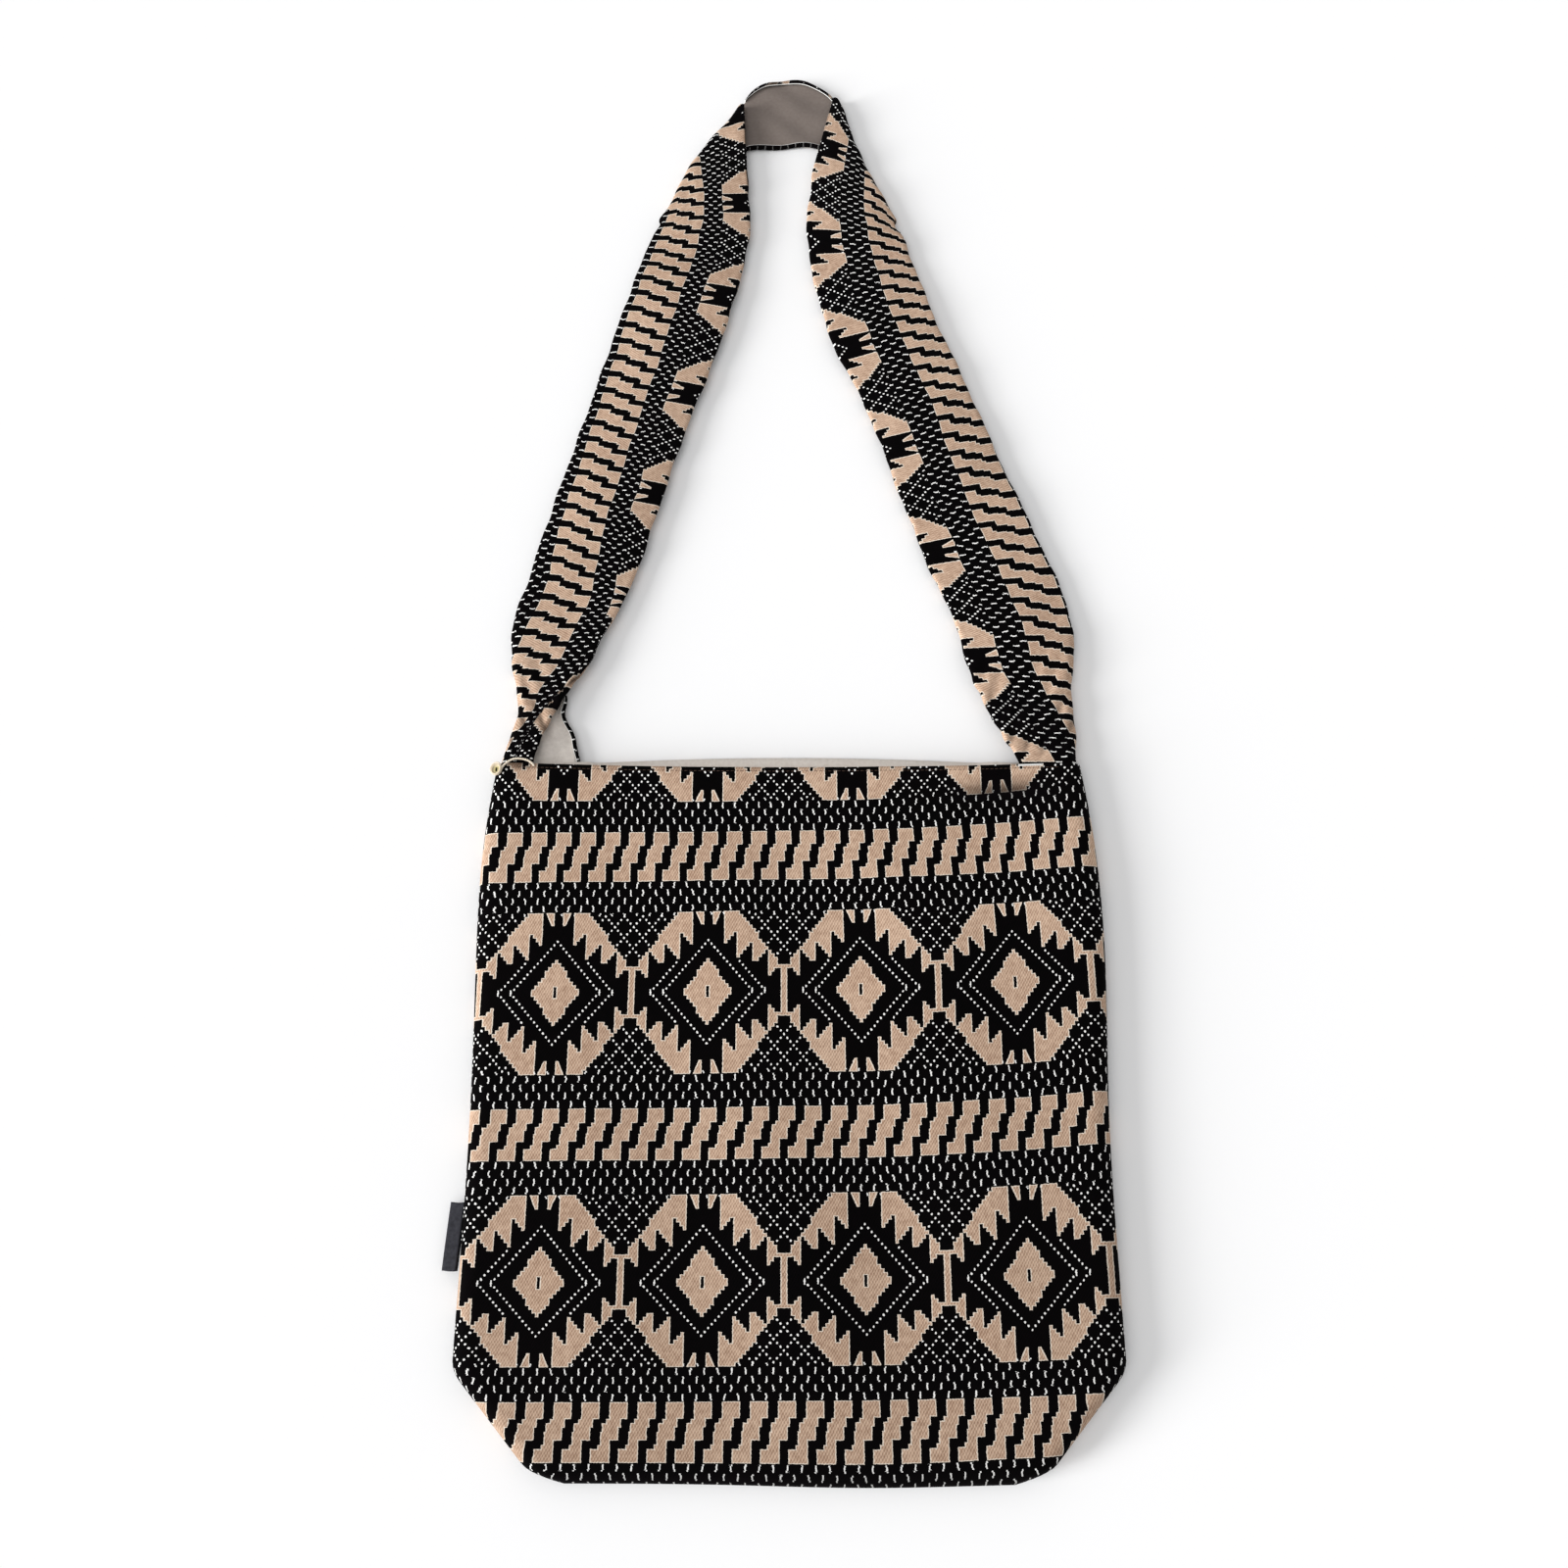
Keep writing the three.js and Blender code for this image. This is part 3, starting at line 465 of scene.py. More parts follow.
def mesh_of(name, points, material, wall=0.0, threads=None, turned=False, closed=False, **values):
    """A piece from a grid of points in bag millimetres, with a wall grown inwards from it. closed
    joins its last column to its first, and turned faces it the other way. Further grids are kept as
    attributes: shade is painted shade, which darkens the cloth's colour towards near black, and
    selvage marks its pale edge."""
    rows, columns = points.shape[:2]
    place = (points.reshape(-1, 3) + BAG_MIDDLE) * MM
    wrap = columns if closed else columns - 1
    first = (np.arange(rows - 1)[:, None] * columns + np.arange(wrap)[None, :]).ravel()
    second = (np.arange(rows - 1)[:, None] * columns
              + ((np.arange(wrap) + 1) % columns)[None, :]).ravel()
    faces = np.stack([first, second, second + columns, first + columns], axis=1)
    if turned:
        faces = faces[:, ::-1]
    mesh = bpy.data.meshes.new(name)
    mesh.from_pydata(place.tolist(), [], faces.tolist())
    if threads is not None:
        layer = mesh.uv_layers.new(name="threads")
        layer.data.foreach_set("uv", threads.reshape(-1, 2)[faces.ravel()].ravel())
    for title, value in values.items():
        mesh.attributes.new(title, "FLOAT", "POINT").data.foreach_set("value", value.ravel())
    mesh.shade_smooth()
    mesh.materials.append(material)
    piece = bpy.data.objects.new(name, mesh)
    bpy.context.scene.collection.objects.link(piece)
    if wall:
        skin = piece.modifiers.new("wall", "SOLIDIFY")
        skin.thickness = wall * MM
        skin.offset = -1.0
        skin.use_even_offset = False
    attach(piece, "root")
    return piece


def panel_threads(face, around, level):
    """The weave's place on a panel: threads at one pitch across, and rows between known heights.
    Near the mouth the threads drift to one side by up to 2.6 mm."""
    around = face * around + 0.0 * level
    level = level + 0.0 * around
    drift = 2.6 * ease(level, 300.0, 400.0)
    thread = (around + 3.0 + drift) / THREAD_PITCH
    row = np.interp(level - shift_of_rows(around, level), *zip(*ROW_PLACES))
    return np.stack([thread, row], axis=2)


for face, name, node in [(1, "front_cloth", "front_panel"), (-1, "back_cloth", "back_panel")]:
    points, around, level = bag_cloth(face, 0.0)
    pale_rim = (level > BAG_HEIGHT - 0.5) * (np.abs(points[:, :, 0] - 156.0) < 8.5) * (face > 0)
    panel = mesh_of(name, points, JACQUARD, SHELL_WALL, panel_threads(face, around, level),
                    turned=face < 0, shade=deep_shade(points), selvage=pale_rim.astype(float))
    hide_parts(node)

# Lining: one layer of plain cream cotton inside each panel, caught in the same seams and ending
# just under the rim of the shell.
LINING_WALL = 0.7
LINING_INSET = 1.5


def plain_weave(name, light, dark, pitch):
    """A plain weave on Object coordinates: two sine ribs at right angles, one over the other."""
    material = bpy.data.materials.new(name)
    material.use_nodes = True
    tree = material.node_tree
    place = tree.nodes.new("ShaderNodeTexCoord")
    split = tree.nodes.new("ShaderNodeSeparateXYZ")
    tree.links.new(place.outputs["Object"], split.inputs[0])
    warp = (Reading(tree, split.outputs[0]) * (FULL_TURN / pitch)).by("SINE")
    weft = (Reading(tree, split.outputs[1]) * (FULL_TURN / pitch)).by("SINE")
    fibre = tree.nodes.new("ShaderNodeTexNoise")
    fibre.inputs["Scale"].default_value = 420.0
    fibre.inputs["Detail"].default_value = 4.0
    tree.links.new(place.outputs["Object"], fibre.inputs["Vector"])
    slub = Reading(tree, fibre.outputs["Fac"]) - 0.5
    share = (warp * weft) * 0.28 + slub * 1.4 + 0.5
    tint = blend(tree, share, pigment(*dark), pigment(*light))
    # painted shade: the shade attribute that the mesh carries darkens the tint towards a dark
    # brown; only the strap backing carries one
    tint_with_painted_shade = blend(tree, -carried(tree, "shade") + 1.0, (0.036, 0.0125, 0.006, 1), tint)
    surface(tree, tint_with_painted_shade, 0.92, 0.15, warp * weft + slub, 0.35, 0.0003)
    return material


CREAM = plain_weave("lining_cotton", (242, 234, 226), (222, 212, 202), 0.0009)
for face, name, node in [(1, "front_lining_cloth", "front_lining"),
                         (-1, "back_lining_cloth", "back_lining")]:
    points, _, level = bag_cloth(face, LINING_INSET, short=0.3, room=3.9, across=60, up=60)
    if face > 0:
        peek = ease(points[:, :, 0], -114.0, -96.0) * (1.0 - ease(points[:, :, 0], 96.0, 112.0))
        points[:, :, 1] += (2.2 * peek - 1.6) * ease(level, BAG_HEIGHT - 12.0, BAG_HEIGHT)
    lining = mesh_of(name, points, CREAM, LINING_WALL, turned=face < 0)
    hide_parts(node)

# Strap: a strip of the jacquard 76 mm wide, its long edges turned over a plain backing. Each end
# goes 14 mm into the mouth, beside a side seam. At the top it is turned over: the backing shows.
STRAP_WIDTH = 76.0
STRAP_EDGE = 2.6                                 # how far under the face its hems lie
STRAP_TUCK = 407.0                               # height of its ends, inside the mouth
TURN_RADIUS = 3.4                                # of its two folds at the top
FOOT_GAP = 2.6


def side_inner(y):
    """Where a foot of the strap stops at height y: a little short of the side seam."""
    return float(half_width(np.float64(y))) - FOOT_GAP


# Stations up each leg: inner edge x and y, outer edge x and y, height of the face, half axes of the
# outer turn across and down, and, where rumples take some of the width, the share that is left.
LEFT_LEG = [
    [-167, STRAP_TUCK, -side_inner(STRAP_TUCK), STRAP_TUCK, 12.4, 6, 4.9],
    [-167, BAG_HEIGHT, -side_inner(BAG_HEIGHT), BAG_HEIGHT, 12.4, 6, 4.9],
    [-163, 441, -182.5, 441, 10.2, 6, 4.6, 0.86],
    [-155, 459, -179.5, 460, 9.2, 4.6, 4.2, 0.79],
    [-146, 476, -181, 478, 8.6, 4, 4, 0.93],
    [-133, 498, -186, 499, 8, 4, 4],
    [-123, 522, -187, 524, 7.8, 4, 3.8],
    [-108, 556, -177.2, 565.6, 6, 4, 3.4, 0.96],
    [-94, 606, -164.4, 617.2, 4.2, 3, 2.5, 0.935],
    [-74, 680, -145.3, 691.2, 3.6, 3, 2.5, 0.935],
    [-52, 750, -127.6, 761.3, 3.8, 3, 2.5, 0.94],
    [-36, 815, -111.3, 824.5, 5, 3, 2.5, 0.95],
    [-29.5, 862, -103.4, 850.3, 6.6, 3, 2.5, 0.98],
    [-32, 915, -97.5, 860, 7.2, 3, 2.5],
]
RIGHT_LEG = [
    [151, STRAP_TUCK, side_inner(STRAP_TUCK), STRAP_TUCK, 12.4, 6, 4.9],
    [151, BAG_HEIGHT, side_inner(BAG_HEIGHT), BAG_HEIGHT, 12.4, 6, 4.9],
    [141, 443, 188.5, 443, 10.2, 6, 4.6],
    [130, 466, 188, 467, 9.2, 4.6, 4.2],
    [121, 490, 190.5, 492, 9, 4.6, 4.4],
    [116, 518, 192.5, 520, 7.6, 4.6, 4.4],
    [107, 545, 187, 550, 5.8, 4, 3.4],
    [96, 574, 175, 586, 4.2, 3, 2.5],
    [78, 630, 153, 646, 3.6, 3, 2.5],
    [57, 698, 130, 716, 3.6, 3, 2.5],
    [33, 756, 109, 775, 3.8, 3, 2.5],
    [19.5, 815, 95, 824, 5, 3, 2.5],
    [15, 864, 88, 849.6, 6.6, 3, 2.5],
    [20, 915, 82, 858.5, 7.2, 3, 2.5],
]
# Each fold at the top: its middle, the way out from it, and how far the cloth is pushed that way.
FOLDS = [((-64.7, 924.0), (-0.884, 0.467), 5.5), ((59.0, 928.0), (0.94, 0.34), -4.0)]
# Stations over the top, where the strap lies flat: inner edge x and y, outer edge x and y.
TOP = [[-34.5, 981.5, -95, 867], [-29.5, 997, -82, 887], [-18.5, 1007, -62, 914],
       [-6, 1010, -34, 939], [4, 1011, -9, 942], [15, 1008.5, 17, 944], [27, 1001, 46, 928],
       [34, 994.5, 68, 890], [36.5, 989, 79.5, 867.5]]


def curve_through(stations, count):
    """Catmull-Rom: between two stations, a cubic whose slope at each is half the step between
    that station's neighbours."""
    line = np.array(stations, dtype=float)
    line = np.vstack([2 * line[0] - line[1], line, 2 * line[-1] - line[-2]])
    t = np.linspace(0.0, len(stations) - 1.0, count)
    i = np.minimum(t.astype(int), len(stations) - 2)
    f = (t - i)[:, None]
    a, b, c, d = line[i], line[i + 1], line[i + 2], line[i + 3]
    return 0.5 * (2 * b + (c - a) * f + (2 * a - 5 * b + 4 * c - d) * f ** 2
                  + (3 * b - a - 3 * c + d) * f ** 3)


def across_leg(stations, count, u):
    """Points across a leg: over the face from the inner edge, round the outer turn and back
    underneath. The turn is an ellipse that takes in what the face is too narrow for. A station's
    eighth number is the share of the width that rumples leave."""
    s = curve_through([(*station, 1.0)[:8] for station in stations], count)
    inner, outer = s[:, 0:2], s[:, 2:4]
    left = s[:, 7][:, None]
    width = STRAP_WIDTH * left
    face, wide, deep = (s[:, k][:, None] for k in (4, 5, 6))
    span = np.linalg.norm(outer - inner, axis=1)[:, None]
    direction = (outer - inner) / span
    radius = np.sqrt((wide ** 2 + deep ** 2) / 2)
    spare = np.maximum(0.0, width - span)
    curl = np.cbrt(6 * spare / radius)
    flat = np.where(spare > (np.pi / 2 - 1) * radius, span - wide, width - radius * curl)
    u = u[None, :] * left
    beyond = np.maximum(0.0, u - flat)
    angle = np.minimum(np.pi, beyond / radius)
    turned = (np.minimum(u, flat) + wide * np.sin(angle)
              - np.maximum(0.0, beyond - np.pi * radius))
    distance = np.where(spare > 0, turned, u * span / width)
    height = face - np.where(spare > 0, deep * (1 - np.cos(angle)), 0.0)
    arch = 2.2 * np.sin(np.pi * u / width) * (1 - ease(spare, 0.0, 12.0))
    flat_place = inner[:, None, :] + direction[:, None, :] * distance[:, :, None]
    return np.concatenate([flat_place, (height + arch)[:, :, None]], axis=2)


def across_line(inner, outer, u):
    """Points across the strap where it is flat: straight from its inner edge to its outer one."""
    return inner[:, None, :] + (outer - inner)[:, None, :] * (u / STRAP_WIDTH)[None, :, None]


def across_fold(stations, hand, u):
    """Half a turn about the slanting fold line, from the leg down to the table."""
    a, b = np.array([*stations[:2], 0.0]), np.array([*stations[2:], 0.0])
    along = (b - a) / np.linalg.norm(b - a)
    outward = hand * np.array([along[1], -along[0], 0.0])
    angle = np.linspace(0.0, np.pi, 17)[:, None]
    raised = np.array([0, 0, 1.0]) * (1 + np.cos(angle))
    shift = TURN_RADIUS * (outward * np.sin(angle) + raised)
    return across_line(a + shift, b + shift, u)


def gather_wave(x, y):
    """The gathers at the strap's feet: sine ridges about 12 mm apart that lean out as they rise."""
    return np.sin((np.abs(x) - 0.42 * y) / 1.9)


def strap_sheet(u):
    """The strap's outer face from its left end to its right one, at distances u across it. Along
    each fold at the top the cloth is pushed out or in a little, as the photograph shows it."""
    top = curve_through(TOP, 60)[1:-1]
    low = np.zeros((len(top), 1))
    sheet = np.concatenate([
        across_leg(LEFT_LEG, 200, u),
        across_fold(TOP[0], 1, u),
        across_line(np.hstack([top[:, 0:2], low]), np.hstack([top[:, 2:4], low]), u),
        across_fold(TOP[-1], -1, u)[::-1],
        across_leg(RIGHT_LEG, 200, u)[::-1],
    ])
    x, y = sheet[:, :, 0], sheet[:, :, 1]
    loose = ease(y, 421.0, 440.0)
    sway = loose * (0.45 * np.sin(y / 8.3 + x / 19.0) + 0.3 * np.sin(y / 3.9 - x / 11.0))
    lift = loose * (1.0 + np.sin(y / 10.5 - x / 15.0) * np.sin(x / 8.0 + y / 27.0))
    rumple = ease(y, 421.0, 436.0) * (1.0 - ease(y, 470.0, 520.0))
    lift = 0.25 * lift + 0.55 * rumple * (1.0 + gather_wave(x, y))
    lift += 3.0 * ease(y, 530.0, 620.0) * (1.0 - ease(y, 780.0, 850.0))
    lift += 0.6 * ease(y, 880.0, 905.0) * (1.0 + np.sin((y + 0.45 * x) / 5.2 + np.sin(x / 13.0)))
    sheet = sheet + np.stack([sway, 0.0 * sway, lift], axis=2)
    for middle, outward, bow in FOLDS:
        east = sheet[:, :, 0] - middle[0]
        north = sheet[:, :, 1] - middle[1]
        away = east * outward[0] + north * outward[1]
        along = east * outward[1] - north * outward[0]
        push = bow * np.exp(-(away / 16.0) ** 2 - (along / 36.0) ** 2)
        sheet[:, :, 0:2] += push[:, :, None] * np.array(outward)
    return sheet


def strap_strip(u, depth):
    """Points at a depth square to the strap's face: the strap's length direction crossed with its
    width direction is the way out of the face."""
    line = strap_sheet(u)
    wider = strap_sheet(np.minimum(STRAP_WIDTH, u + 0.5))
    across = wider - strap_sheet(np.maximum(0.0, u - 0.5))
    along = np.gradient(line, axis=0)
    out = np.cross(along, across)
    out /= np.linalg.norm(out, axis=2)[:, :, None]
    points = line - out * depth[None, :, None]
    points[:, :, 2] = np.maximum(points[:, :, 2], 0.0)
    return points


# The weave on the strap, in millimetres along or across it: where its flat top starts and ends,
# how far the rows drift, the row at each distance across either leg, and the thread along both.
TOP_START, TOP_END = 430.0, 810.0
ROW_DRIFT = [(0, 10), (40, 13), (80, 12), (110, 11), (140, 10), (200, -2.0), (390, -7.5),
             (520, -5.5), (700, 0), (900, -1), (1060, 4.5), (1130, 4.5), (1200, 3), (1280, 3)]
LEFT_ROWS = [(-12, -28), (0, -22.4), (15.5, -16), (31, -7.1), (64, 7.1), (90, 18.5)]
RIGHT_ROWS = [(-12, -32), (0, -26.8), (25.2, -16), (46.2, -7.1), (78.7, 7.1), (95, 14.3)]
THREAD_PLACES = [(0, -12), (237.4, 120), (323.2, 168), (560, 295), (700, 394), (908.4, 504),
                 (999.9, 552), (1280, 699)]
RAW_EDGE = [0, 1, -2, -1]                        # columns of the strip that are its cut edges


def crease_place(length):
    """Inner edge to the crease at the left foot, where that edge is folded over, at each length."""
    return 12.0 * (1.0 - ease(length, 44.0, 84.0)) - 0.5


def strap_threads(u):
    """The weave's place on the strap: threads run with its length, rows across its width. Over the
    folds at the top, threads are counted along each line by itself, as in a flat cloth."""
    sheet = strap_sheet(np.clip(u, 0.0, STRAP_WIDTH))
    middle = strap_sheet(np.array([STRAP_WIDTH / 2]))[:, 0]
    length = np.concatenate([[0.0], np.cumsum(np.linalg.norm(np.diff(middle, axis=0), axis=1))])
    first, last = np.searchsorted(length, [TOP_START, TOP_END])
    own = np.linalg.norm(np.diff(sheet[first:last + 1], axis=0), axis=2)
    own = np.concatenate([np.zeros((1, len(u))), np.cumsum(own, axis=0)])
    thread = np.interp(length, *zip(*THREAD_PLACES))[:, None] + 0.0 * u[None, :]
    thread[first:last + 1] = (thread[first:first + 1]
                              + own / own[-1:] * (thread[last:last + 1] - thread[first:first + 1]))
    crease = crease_place(length)[:, None]
    place = u[None, :] + np.interp(length, *zip(*ROW_DRIFT))[:, None] * (u[None, :] > crease)
    left = np.interp(place, *zip(*LEFT_ROWS))
    right = np.interp(place, *zip(*RIGHT_ROWS))
    swap = ease(length, 500.0, 760.0)[:, None]
    rows = left * (1 - swap) + right * swap
    # the hem that the left foot turns up, which shows one line of the cloth's dashes
    hem = (u[None, :] > STRAP_WIDTH - 1.2) * (1.0 - ease(length, 84.0, 92.0))[:, None]
    rows = rows * (1.0 - hem) + (-12.5 + 0.8 * (u[None, :] - STRAP_WIDTH)) * hem
    # painted shade in the crease at the left foot, on the turned edges at the top and in the
    # gathers
    painted_strap_shade = (0.9 * np.exp(-((u[None, :] - crease - 0.8) / 1.3) ** 2)
             * ease(length, 14.0, 40.0)[:, None] * (1.0 - ease(length, 78.0, 96.0))[:, None])
    apex = (ease(length, 470.0, 500.0) * (1.0 - ease(length, 740.0, 770.0)))[:, None]
    inner_edge = (u[None, :] < 1.0) * (0.6 + 0.3 * np.sin(length[:, None] / 6.0))
    outer_edge = 0.85 * (u[None, :] > STRAP_WIDTH - 0.6)
    painted_strap_shade = np.maximum(painted_strap_shade, apex * (inner_edge + outer_edge))
    x, y = sheet[:, :, 0], sheet[:, :, 1]
    gathers = ease(y, 424.0, 434.0) * (1.0 - ease(y, 452.0, 484.0))
    trough = np.clip(-0.2 - gather_wave(x, y), 0.0, 1.0)
    painted_strap_shade = np.maximum(painted_strap_shade, 0.8 * gathers * trough)
    painted_strap_shade[:, RAW_EDGE] = 0.0
    return np.stack([thread, rows], axis=2), length, painted_strap_shade


# The strip's cross-section, as places across the strap and depths under its face: in from the cut
# edge of one hem, round its turn, over the face, round the other turn and under to the other hem.
bend = np.linspace(0.0, np.pi, 7)
hem_turn = STRAP_EDGE / 2
u_path = np.concatenate([
    [4.3, 4.05, 4.0, 2.4],
    hem_turn * (1 - np.sin(bend)),
    np.linspace(hem_turn, STRAP_WIDTH - hem_turn, 42)[1:-1],
    STRAP_WIDTH - hem_turn * (1 - np.sin(bend)),
    [STRAP_WIDTH - 1.4, STRAP_WIDTH - 1.45, STRAP_WIDTH - 1.75],
])
d_path = np.concatenate([
    [STRAP_EDGE] * 4,
    hem_turn * (1 + np.cos(bend)),
    np.zeros(40),
    hem_turn * (1 - np.cos(bend)),
    [STRAP_EDGE] * 3,
])
rising = slice(8, -8)
strip = strap_strip(u_path, d_path)
travel = np.concatenate([[0.0], np.cumsum(np.hypot(np.diff(u_path), np.diff(d_path)))])
travel -= np.interp(STRAP_WIDTH / 2, u_path[rising], travel[rising]) - STRAP_WIDTH / 2
# the strap's painted shade comes out of strap_threads as its third grid and is carried as the shade
# attribute
threads, length, painted_strap_shade = strap_threads(travel)
cut_edge = np.zeros_like(painted_strap_shade)
cut_edge[:, RAW_EDGE] = 1.0
strap = mesh_of("strap_cloth", strip, JACQUARD, 0.7, threads, shade=painted_strap_shade, selvage=cut_edge)
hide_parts("strap_face")

# Strap backing: plain greige cotton, cut 73 mm wide and held between the strap's turned edges. It
# shows at the left foot, in full light, and over the top, where painted shade darkens its colour.
GREIGE = plain_weave("backing_cotton", (246, 238, 230), (220, 211, 202), 0.0011)
u_flat = np.linspace(1.4, STRAP_WIDTH - 1.0, 30)
under_face = np.full(len(u_flat), hem_turn)
# painted shade: the backing's colour is darkened from 66 mm along the strap, to a share of 0.8
# beyond 170 mm
painted_backing_shade = 0.8 * ease(length, 66.0, 170.0)[:, None] + np.zeros((1, len(u_flat)))
backing = mesh_of("strap_back_cloth", strap_strip(u_flat, under_face), GREIGE, 0.5, shade=painted_backing_shade)
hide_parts("strap_backing")

# Sewing: dark brown cotton thread in running stitches, close to both edges of the strap on its
# face and on its turned hems, and along the mouth under each rim.
BROWN_THREAD = bpy.data.materials.new("sewing_thread")
BROWN_THREAD.use_nodes = True
nodes = BROWN_THREAD.node_tree.nodes
shader = nodes["Principled BSDF"]
shader.inputs["Roughness"].default_value = 0.7
shader.inputs["Specular IOR Level"].default_value = 0.2
fibre = nodes.new("ShaderNodeTexNoise")
fibre.inputs["Scale"].default_value = 900.0
tones = nodes.new("ShaderNodeValToRGB")
tones.color_ramp.elements[0].color = pigment(44, 31, 25)
tones.color_ramp.elements[1].color = pigment(84, 64, 50)
BROWN_THREAD.node_tree.links.new(fibre.outputs["Fac"], tones.inputs["Fac"])
BROWN_THREAD.node_tree.links.new(tones.outputs["Color"], shader.inputs["Base Color"])


def running_stitches(name, routes, pitch=3.0, share=0.7, radius=0.17):
    """Separate stitches along routes of points and outward directions. Each stitch is a thin rod
    that comes out of the cloth, lies on it and goes back in: its height is half a sine wave."""
    corners, cuts = 6, 5
    ring = np.linspace(0.0, 2.0 * np.pi, corners + 1)[:-1]
    rods = []
    for points, outward in routes:
        steps = np.linalg.norm(np.diff(points, axis=0), axis=1)
        travel = np.concatenate([[0.0], np.cumsum(steps)])
        starts = np.arange(pitch, travel[-1] - pitch, pitch)[:, None]
        part = np.linspace(0.0, 1.0, cuts)[None, :]
        at = starts + part * pitch * share
        centre = np.stack([np.interp(at, travel, points[:, k]) for k in range(3)], axis=2)
        out = np.stack([np.interp(at, travel, outward[:, k]) for k in range(3)], axis=2)
        out /= np.linalg.norm(out, axis=2)[:, :, None]
        ahead = np.gradient(centre, axis=1)
        ahead /= np.linalg.norm(ahead, axis=2)[:, :, None]
        aside = np.cross(ahead, out)
        centre = centre + out * (radius * (1.5 * np.sin(np.pi * part) - 0.7))[:, :, None]
        round_it = (np.cos(ring)[:, None] * out[:, :, None, :]
                    + np.sin(ring)[:, None] * aside[:, :, None, :])
        rods.append(centre[:, :, None, :] + radius * round_it)
    rods = np.concatenate(rods)
    base = np.arange(len(rods))[:, None] * (cuts * corners)
    corner = np.arange(corners)
    first = np.arange(cuts - 1)[:, None] * corners
    step = (first + corner[None, :]).ravel()
    turn = (first + ((corner + 1) % corners)[None, :]).ravel()
    sides = np.stack([base + step, base + turn, base + turn + corners, base + step + corners],
                     axis=2)
    ends = np.concatenate([base + corner[::-1], base + (cuts - 1) * corners + corner])
    mesh = bpy.data.meshes.new(name)
    place = (rods.reshape(-1, 3) + BAG_MIDDLE) * MM
    mesh.from_pydata(place.tolist(), [], sides.reshape(-1, 4).tolist() + ends.tolist())
    mesh.shade_smooth()
    mesh.materials.append(BROWN_THREAD)
    piece = bpy.data.objects.new(name, mesh)
    bpy.context.scene.collection.objects.link(piece)
    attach(piece, "root")
    return piece


def outward_of(first, second):
    """Directions square to a strip between two lines of points, unit length."""
    along = np.gradient(first, axis=0)
    out = np.cross(along, second - first)
    return out / np.linalg.norm(out, axis=1)[:, None]


edges = strap_strip(np.array([2.4, 5.0, STRAP_WIDTH - 5.0, STRAP_WIDTH - 2.4]), np.zeros(4))
hems = strap_strip(np.array([2.8, 5.0, STRAP_WIDTH - 4.0, STRAP_WIDTH - 1.2]),
                   np.full(4, STRAP_EDGE))
free = slice(14, -14)                            # both ends of the strap are inside the bag
routes = []
for grid, way in ((edges, 1.0), (hems, -1.0)):
    routes.append((grid[free, 0], way * outward_of(grid[:, 0], grid[:, 1])[free]))
    routes.append((grid[free, 3], way * outward_of(grid[:, 2], grid[:, 3])[free]))
running_stitches("strap_stitches", routes)
between_seams = slice(8, -8)
for face, name in [(1, "front_stitches"), (-1, "back_stitches")]:
    points, _, level = bag_cloth(face, 0.0)
    i = int(np.argmin(np.abs(level[:, 0] - 417.5)))
    out = face * outward_of(points[i - 1], points[i])
    running_stitches(name, [(points[i][between_seams], out[between_seams])])

# Side label: a blank charcoal tape 38 mm tall, folded in two, with both ends caught in the left
# side seam. It droops a little, its free end curls up and it leans with the seam.
TAPE = plain_weave("label_tape", (60, 60, 66), (33, 33, 38), 0.0008)
LABEL_DEPTH = 9.0
LABEL_LOW, LABEL_MIDDLE, LABEL_HIGH = 110.0, 129.0, 148.0
LABEL_HALF = 0.75                                # half of the two layers' thickness
drop = -0.3
bend = np.linspace(np.pi / 2, 3 * np.pi / 2, 9)
run = np.linspace(0.0, LABEL_HALF - LABEL_DEPTH, 8)
fold = LABEL_HALF - LABEL_DEPTH + LABEL_HALF * np.cos(bend)[1:-1]
reach_x = np.concatenate([run, fold, run[::-1]])
reach_z = np.concatenate([np.full(8, LABEL_HALF), LABEL_HALF * np.sin(bend)[1:-1],
                          np.full(8, -LABEL_HALF)])
tall = np.linspace(LABEL_LOW, LABEL_HIGH, 30)[:, None]
share = (tall - LABEL_LOW) / (LABEL_HIGH - LABEL_LOW)
curl = 0.5 * np.sin(share * np.pi) * (reach_x / LABEL_DEPTH) ** 2
tape = np.stack([
    reach_x * np.cos(drop) + reach_z * np.sin(drop) - half_width(LABEL_MIDDLE) - 0.6
    + 0.06 * (tall - LABEL_MIDDLE),
    tall + 0.25 * np.sin(reach_x / 2.0),
    SEAM_HEIGHT - reach_x * np.sin(drop) + reach_z * np.cos(drop) + curl,
], axis=2)
label = mesh_of("label_tape", tape, TAPE, 0.5)
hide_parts("side_label")

# Corner button: a cream button with a raised, rounded rim and a dished middle that has one long
# hole, sewn on the turn of the front panel at the left end of the mouth.
horn = bpy.data.materials.new("button_cream")
horn.use_nodes = True
nodes = horn.node_tree.nodes
shader = nodes["Principled BSDF"]
shader.inputs["Roughness"].default_value = 0.42
shader.inputs["Specular IOR Level"].default_value = 0.4
laid = nodes.new("ShaderNodeUVMap")
laid.uv_map = "dial"
ramp = nodes.new("ShaderNodeValToRGB")
stops = ramp.color_ramp.elements
stops[0].color = pigment(40, 32, 22)
stops[1].color = pigment(228, 212, 190)
for place_at, colour in [(0.14, (44, 34, 22)), (0.2, (176, 164, 112)), (0.5, (196, 184, 134)),
                         (0.62, (214, 198, 164))]:
    stops.new(place_at).color = pigment(*colour)
split = nodes.new("ShaderNodeSeparateXYZ")
horn.node_tree.links.new(laid.outputs["UV"], split.inputs[0])
horn.node_tree.links.new(split.outputs[0], ramp.inputs["Fac"])
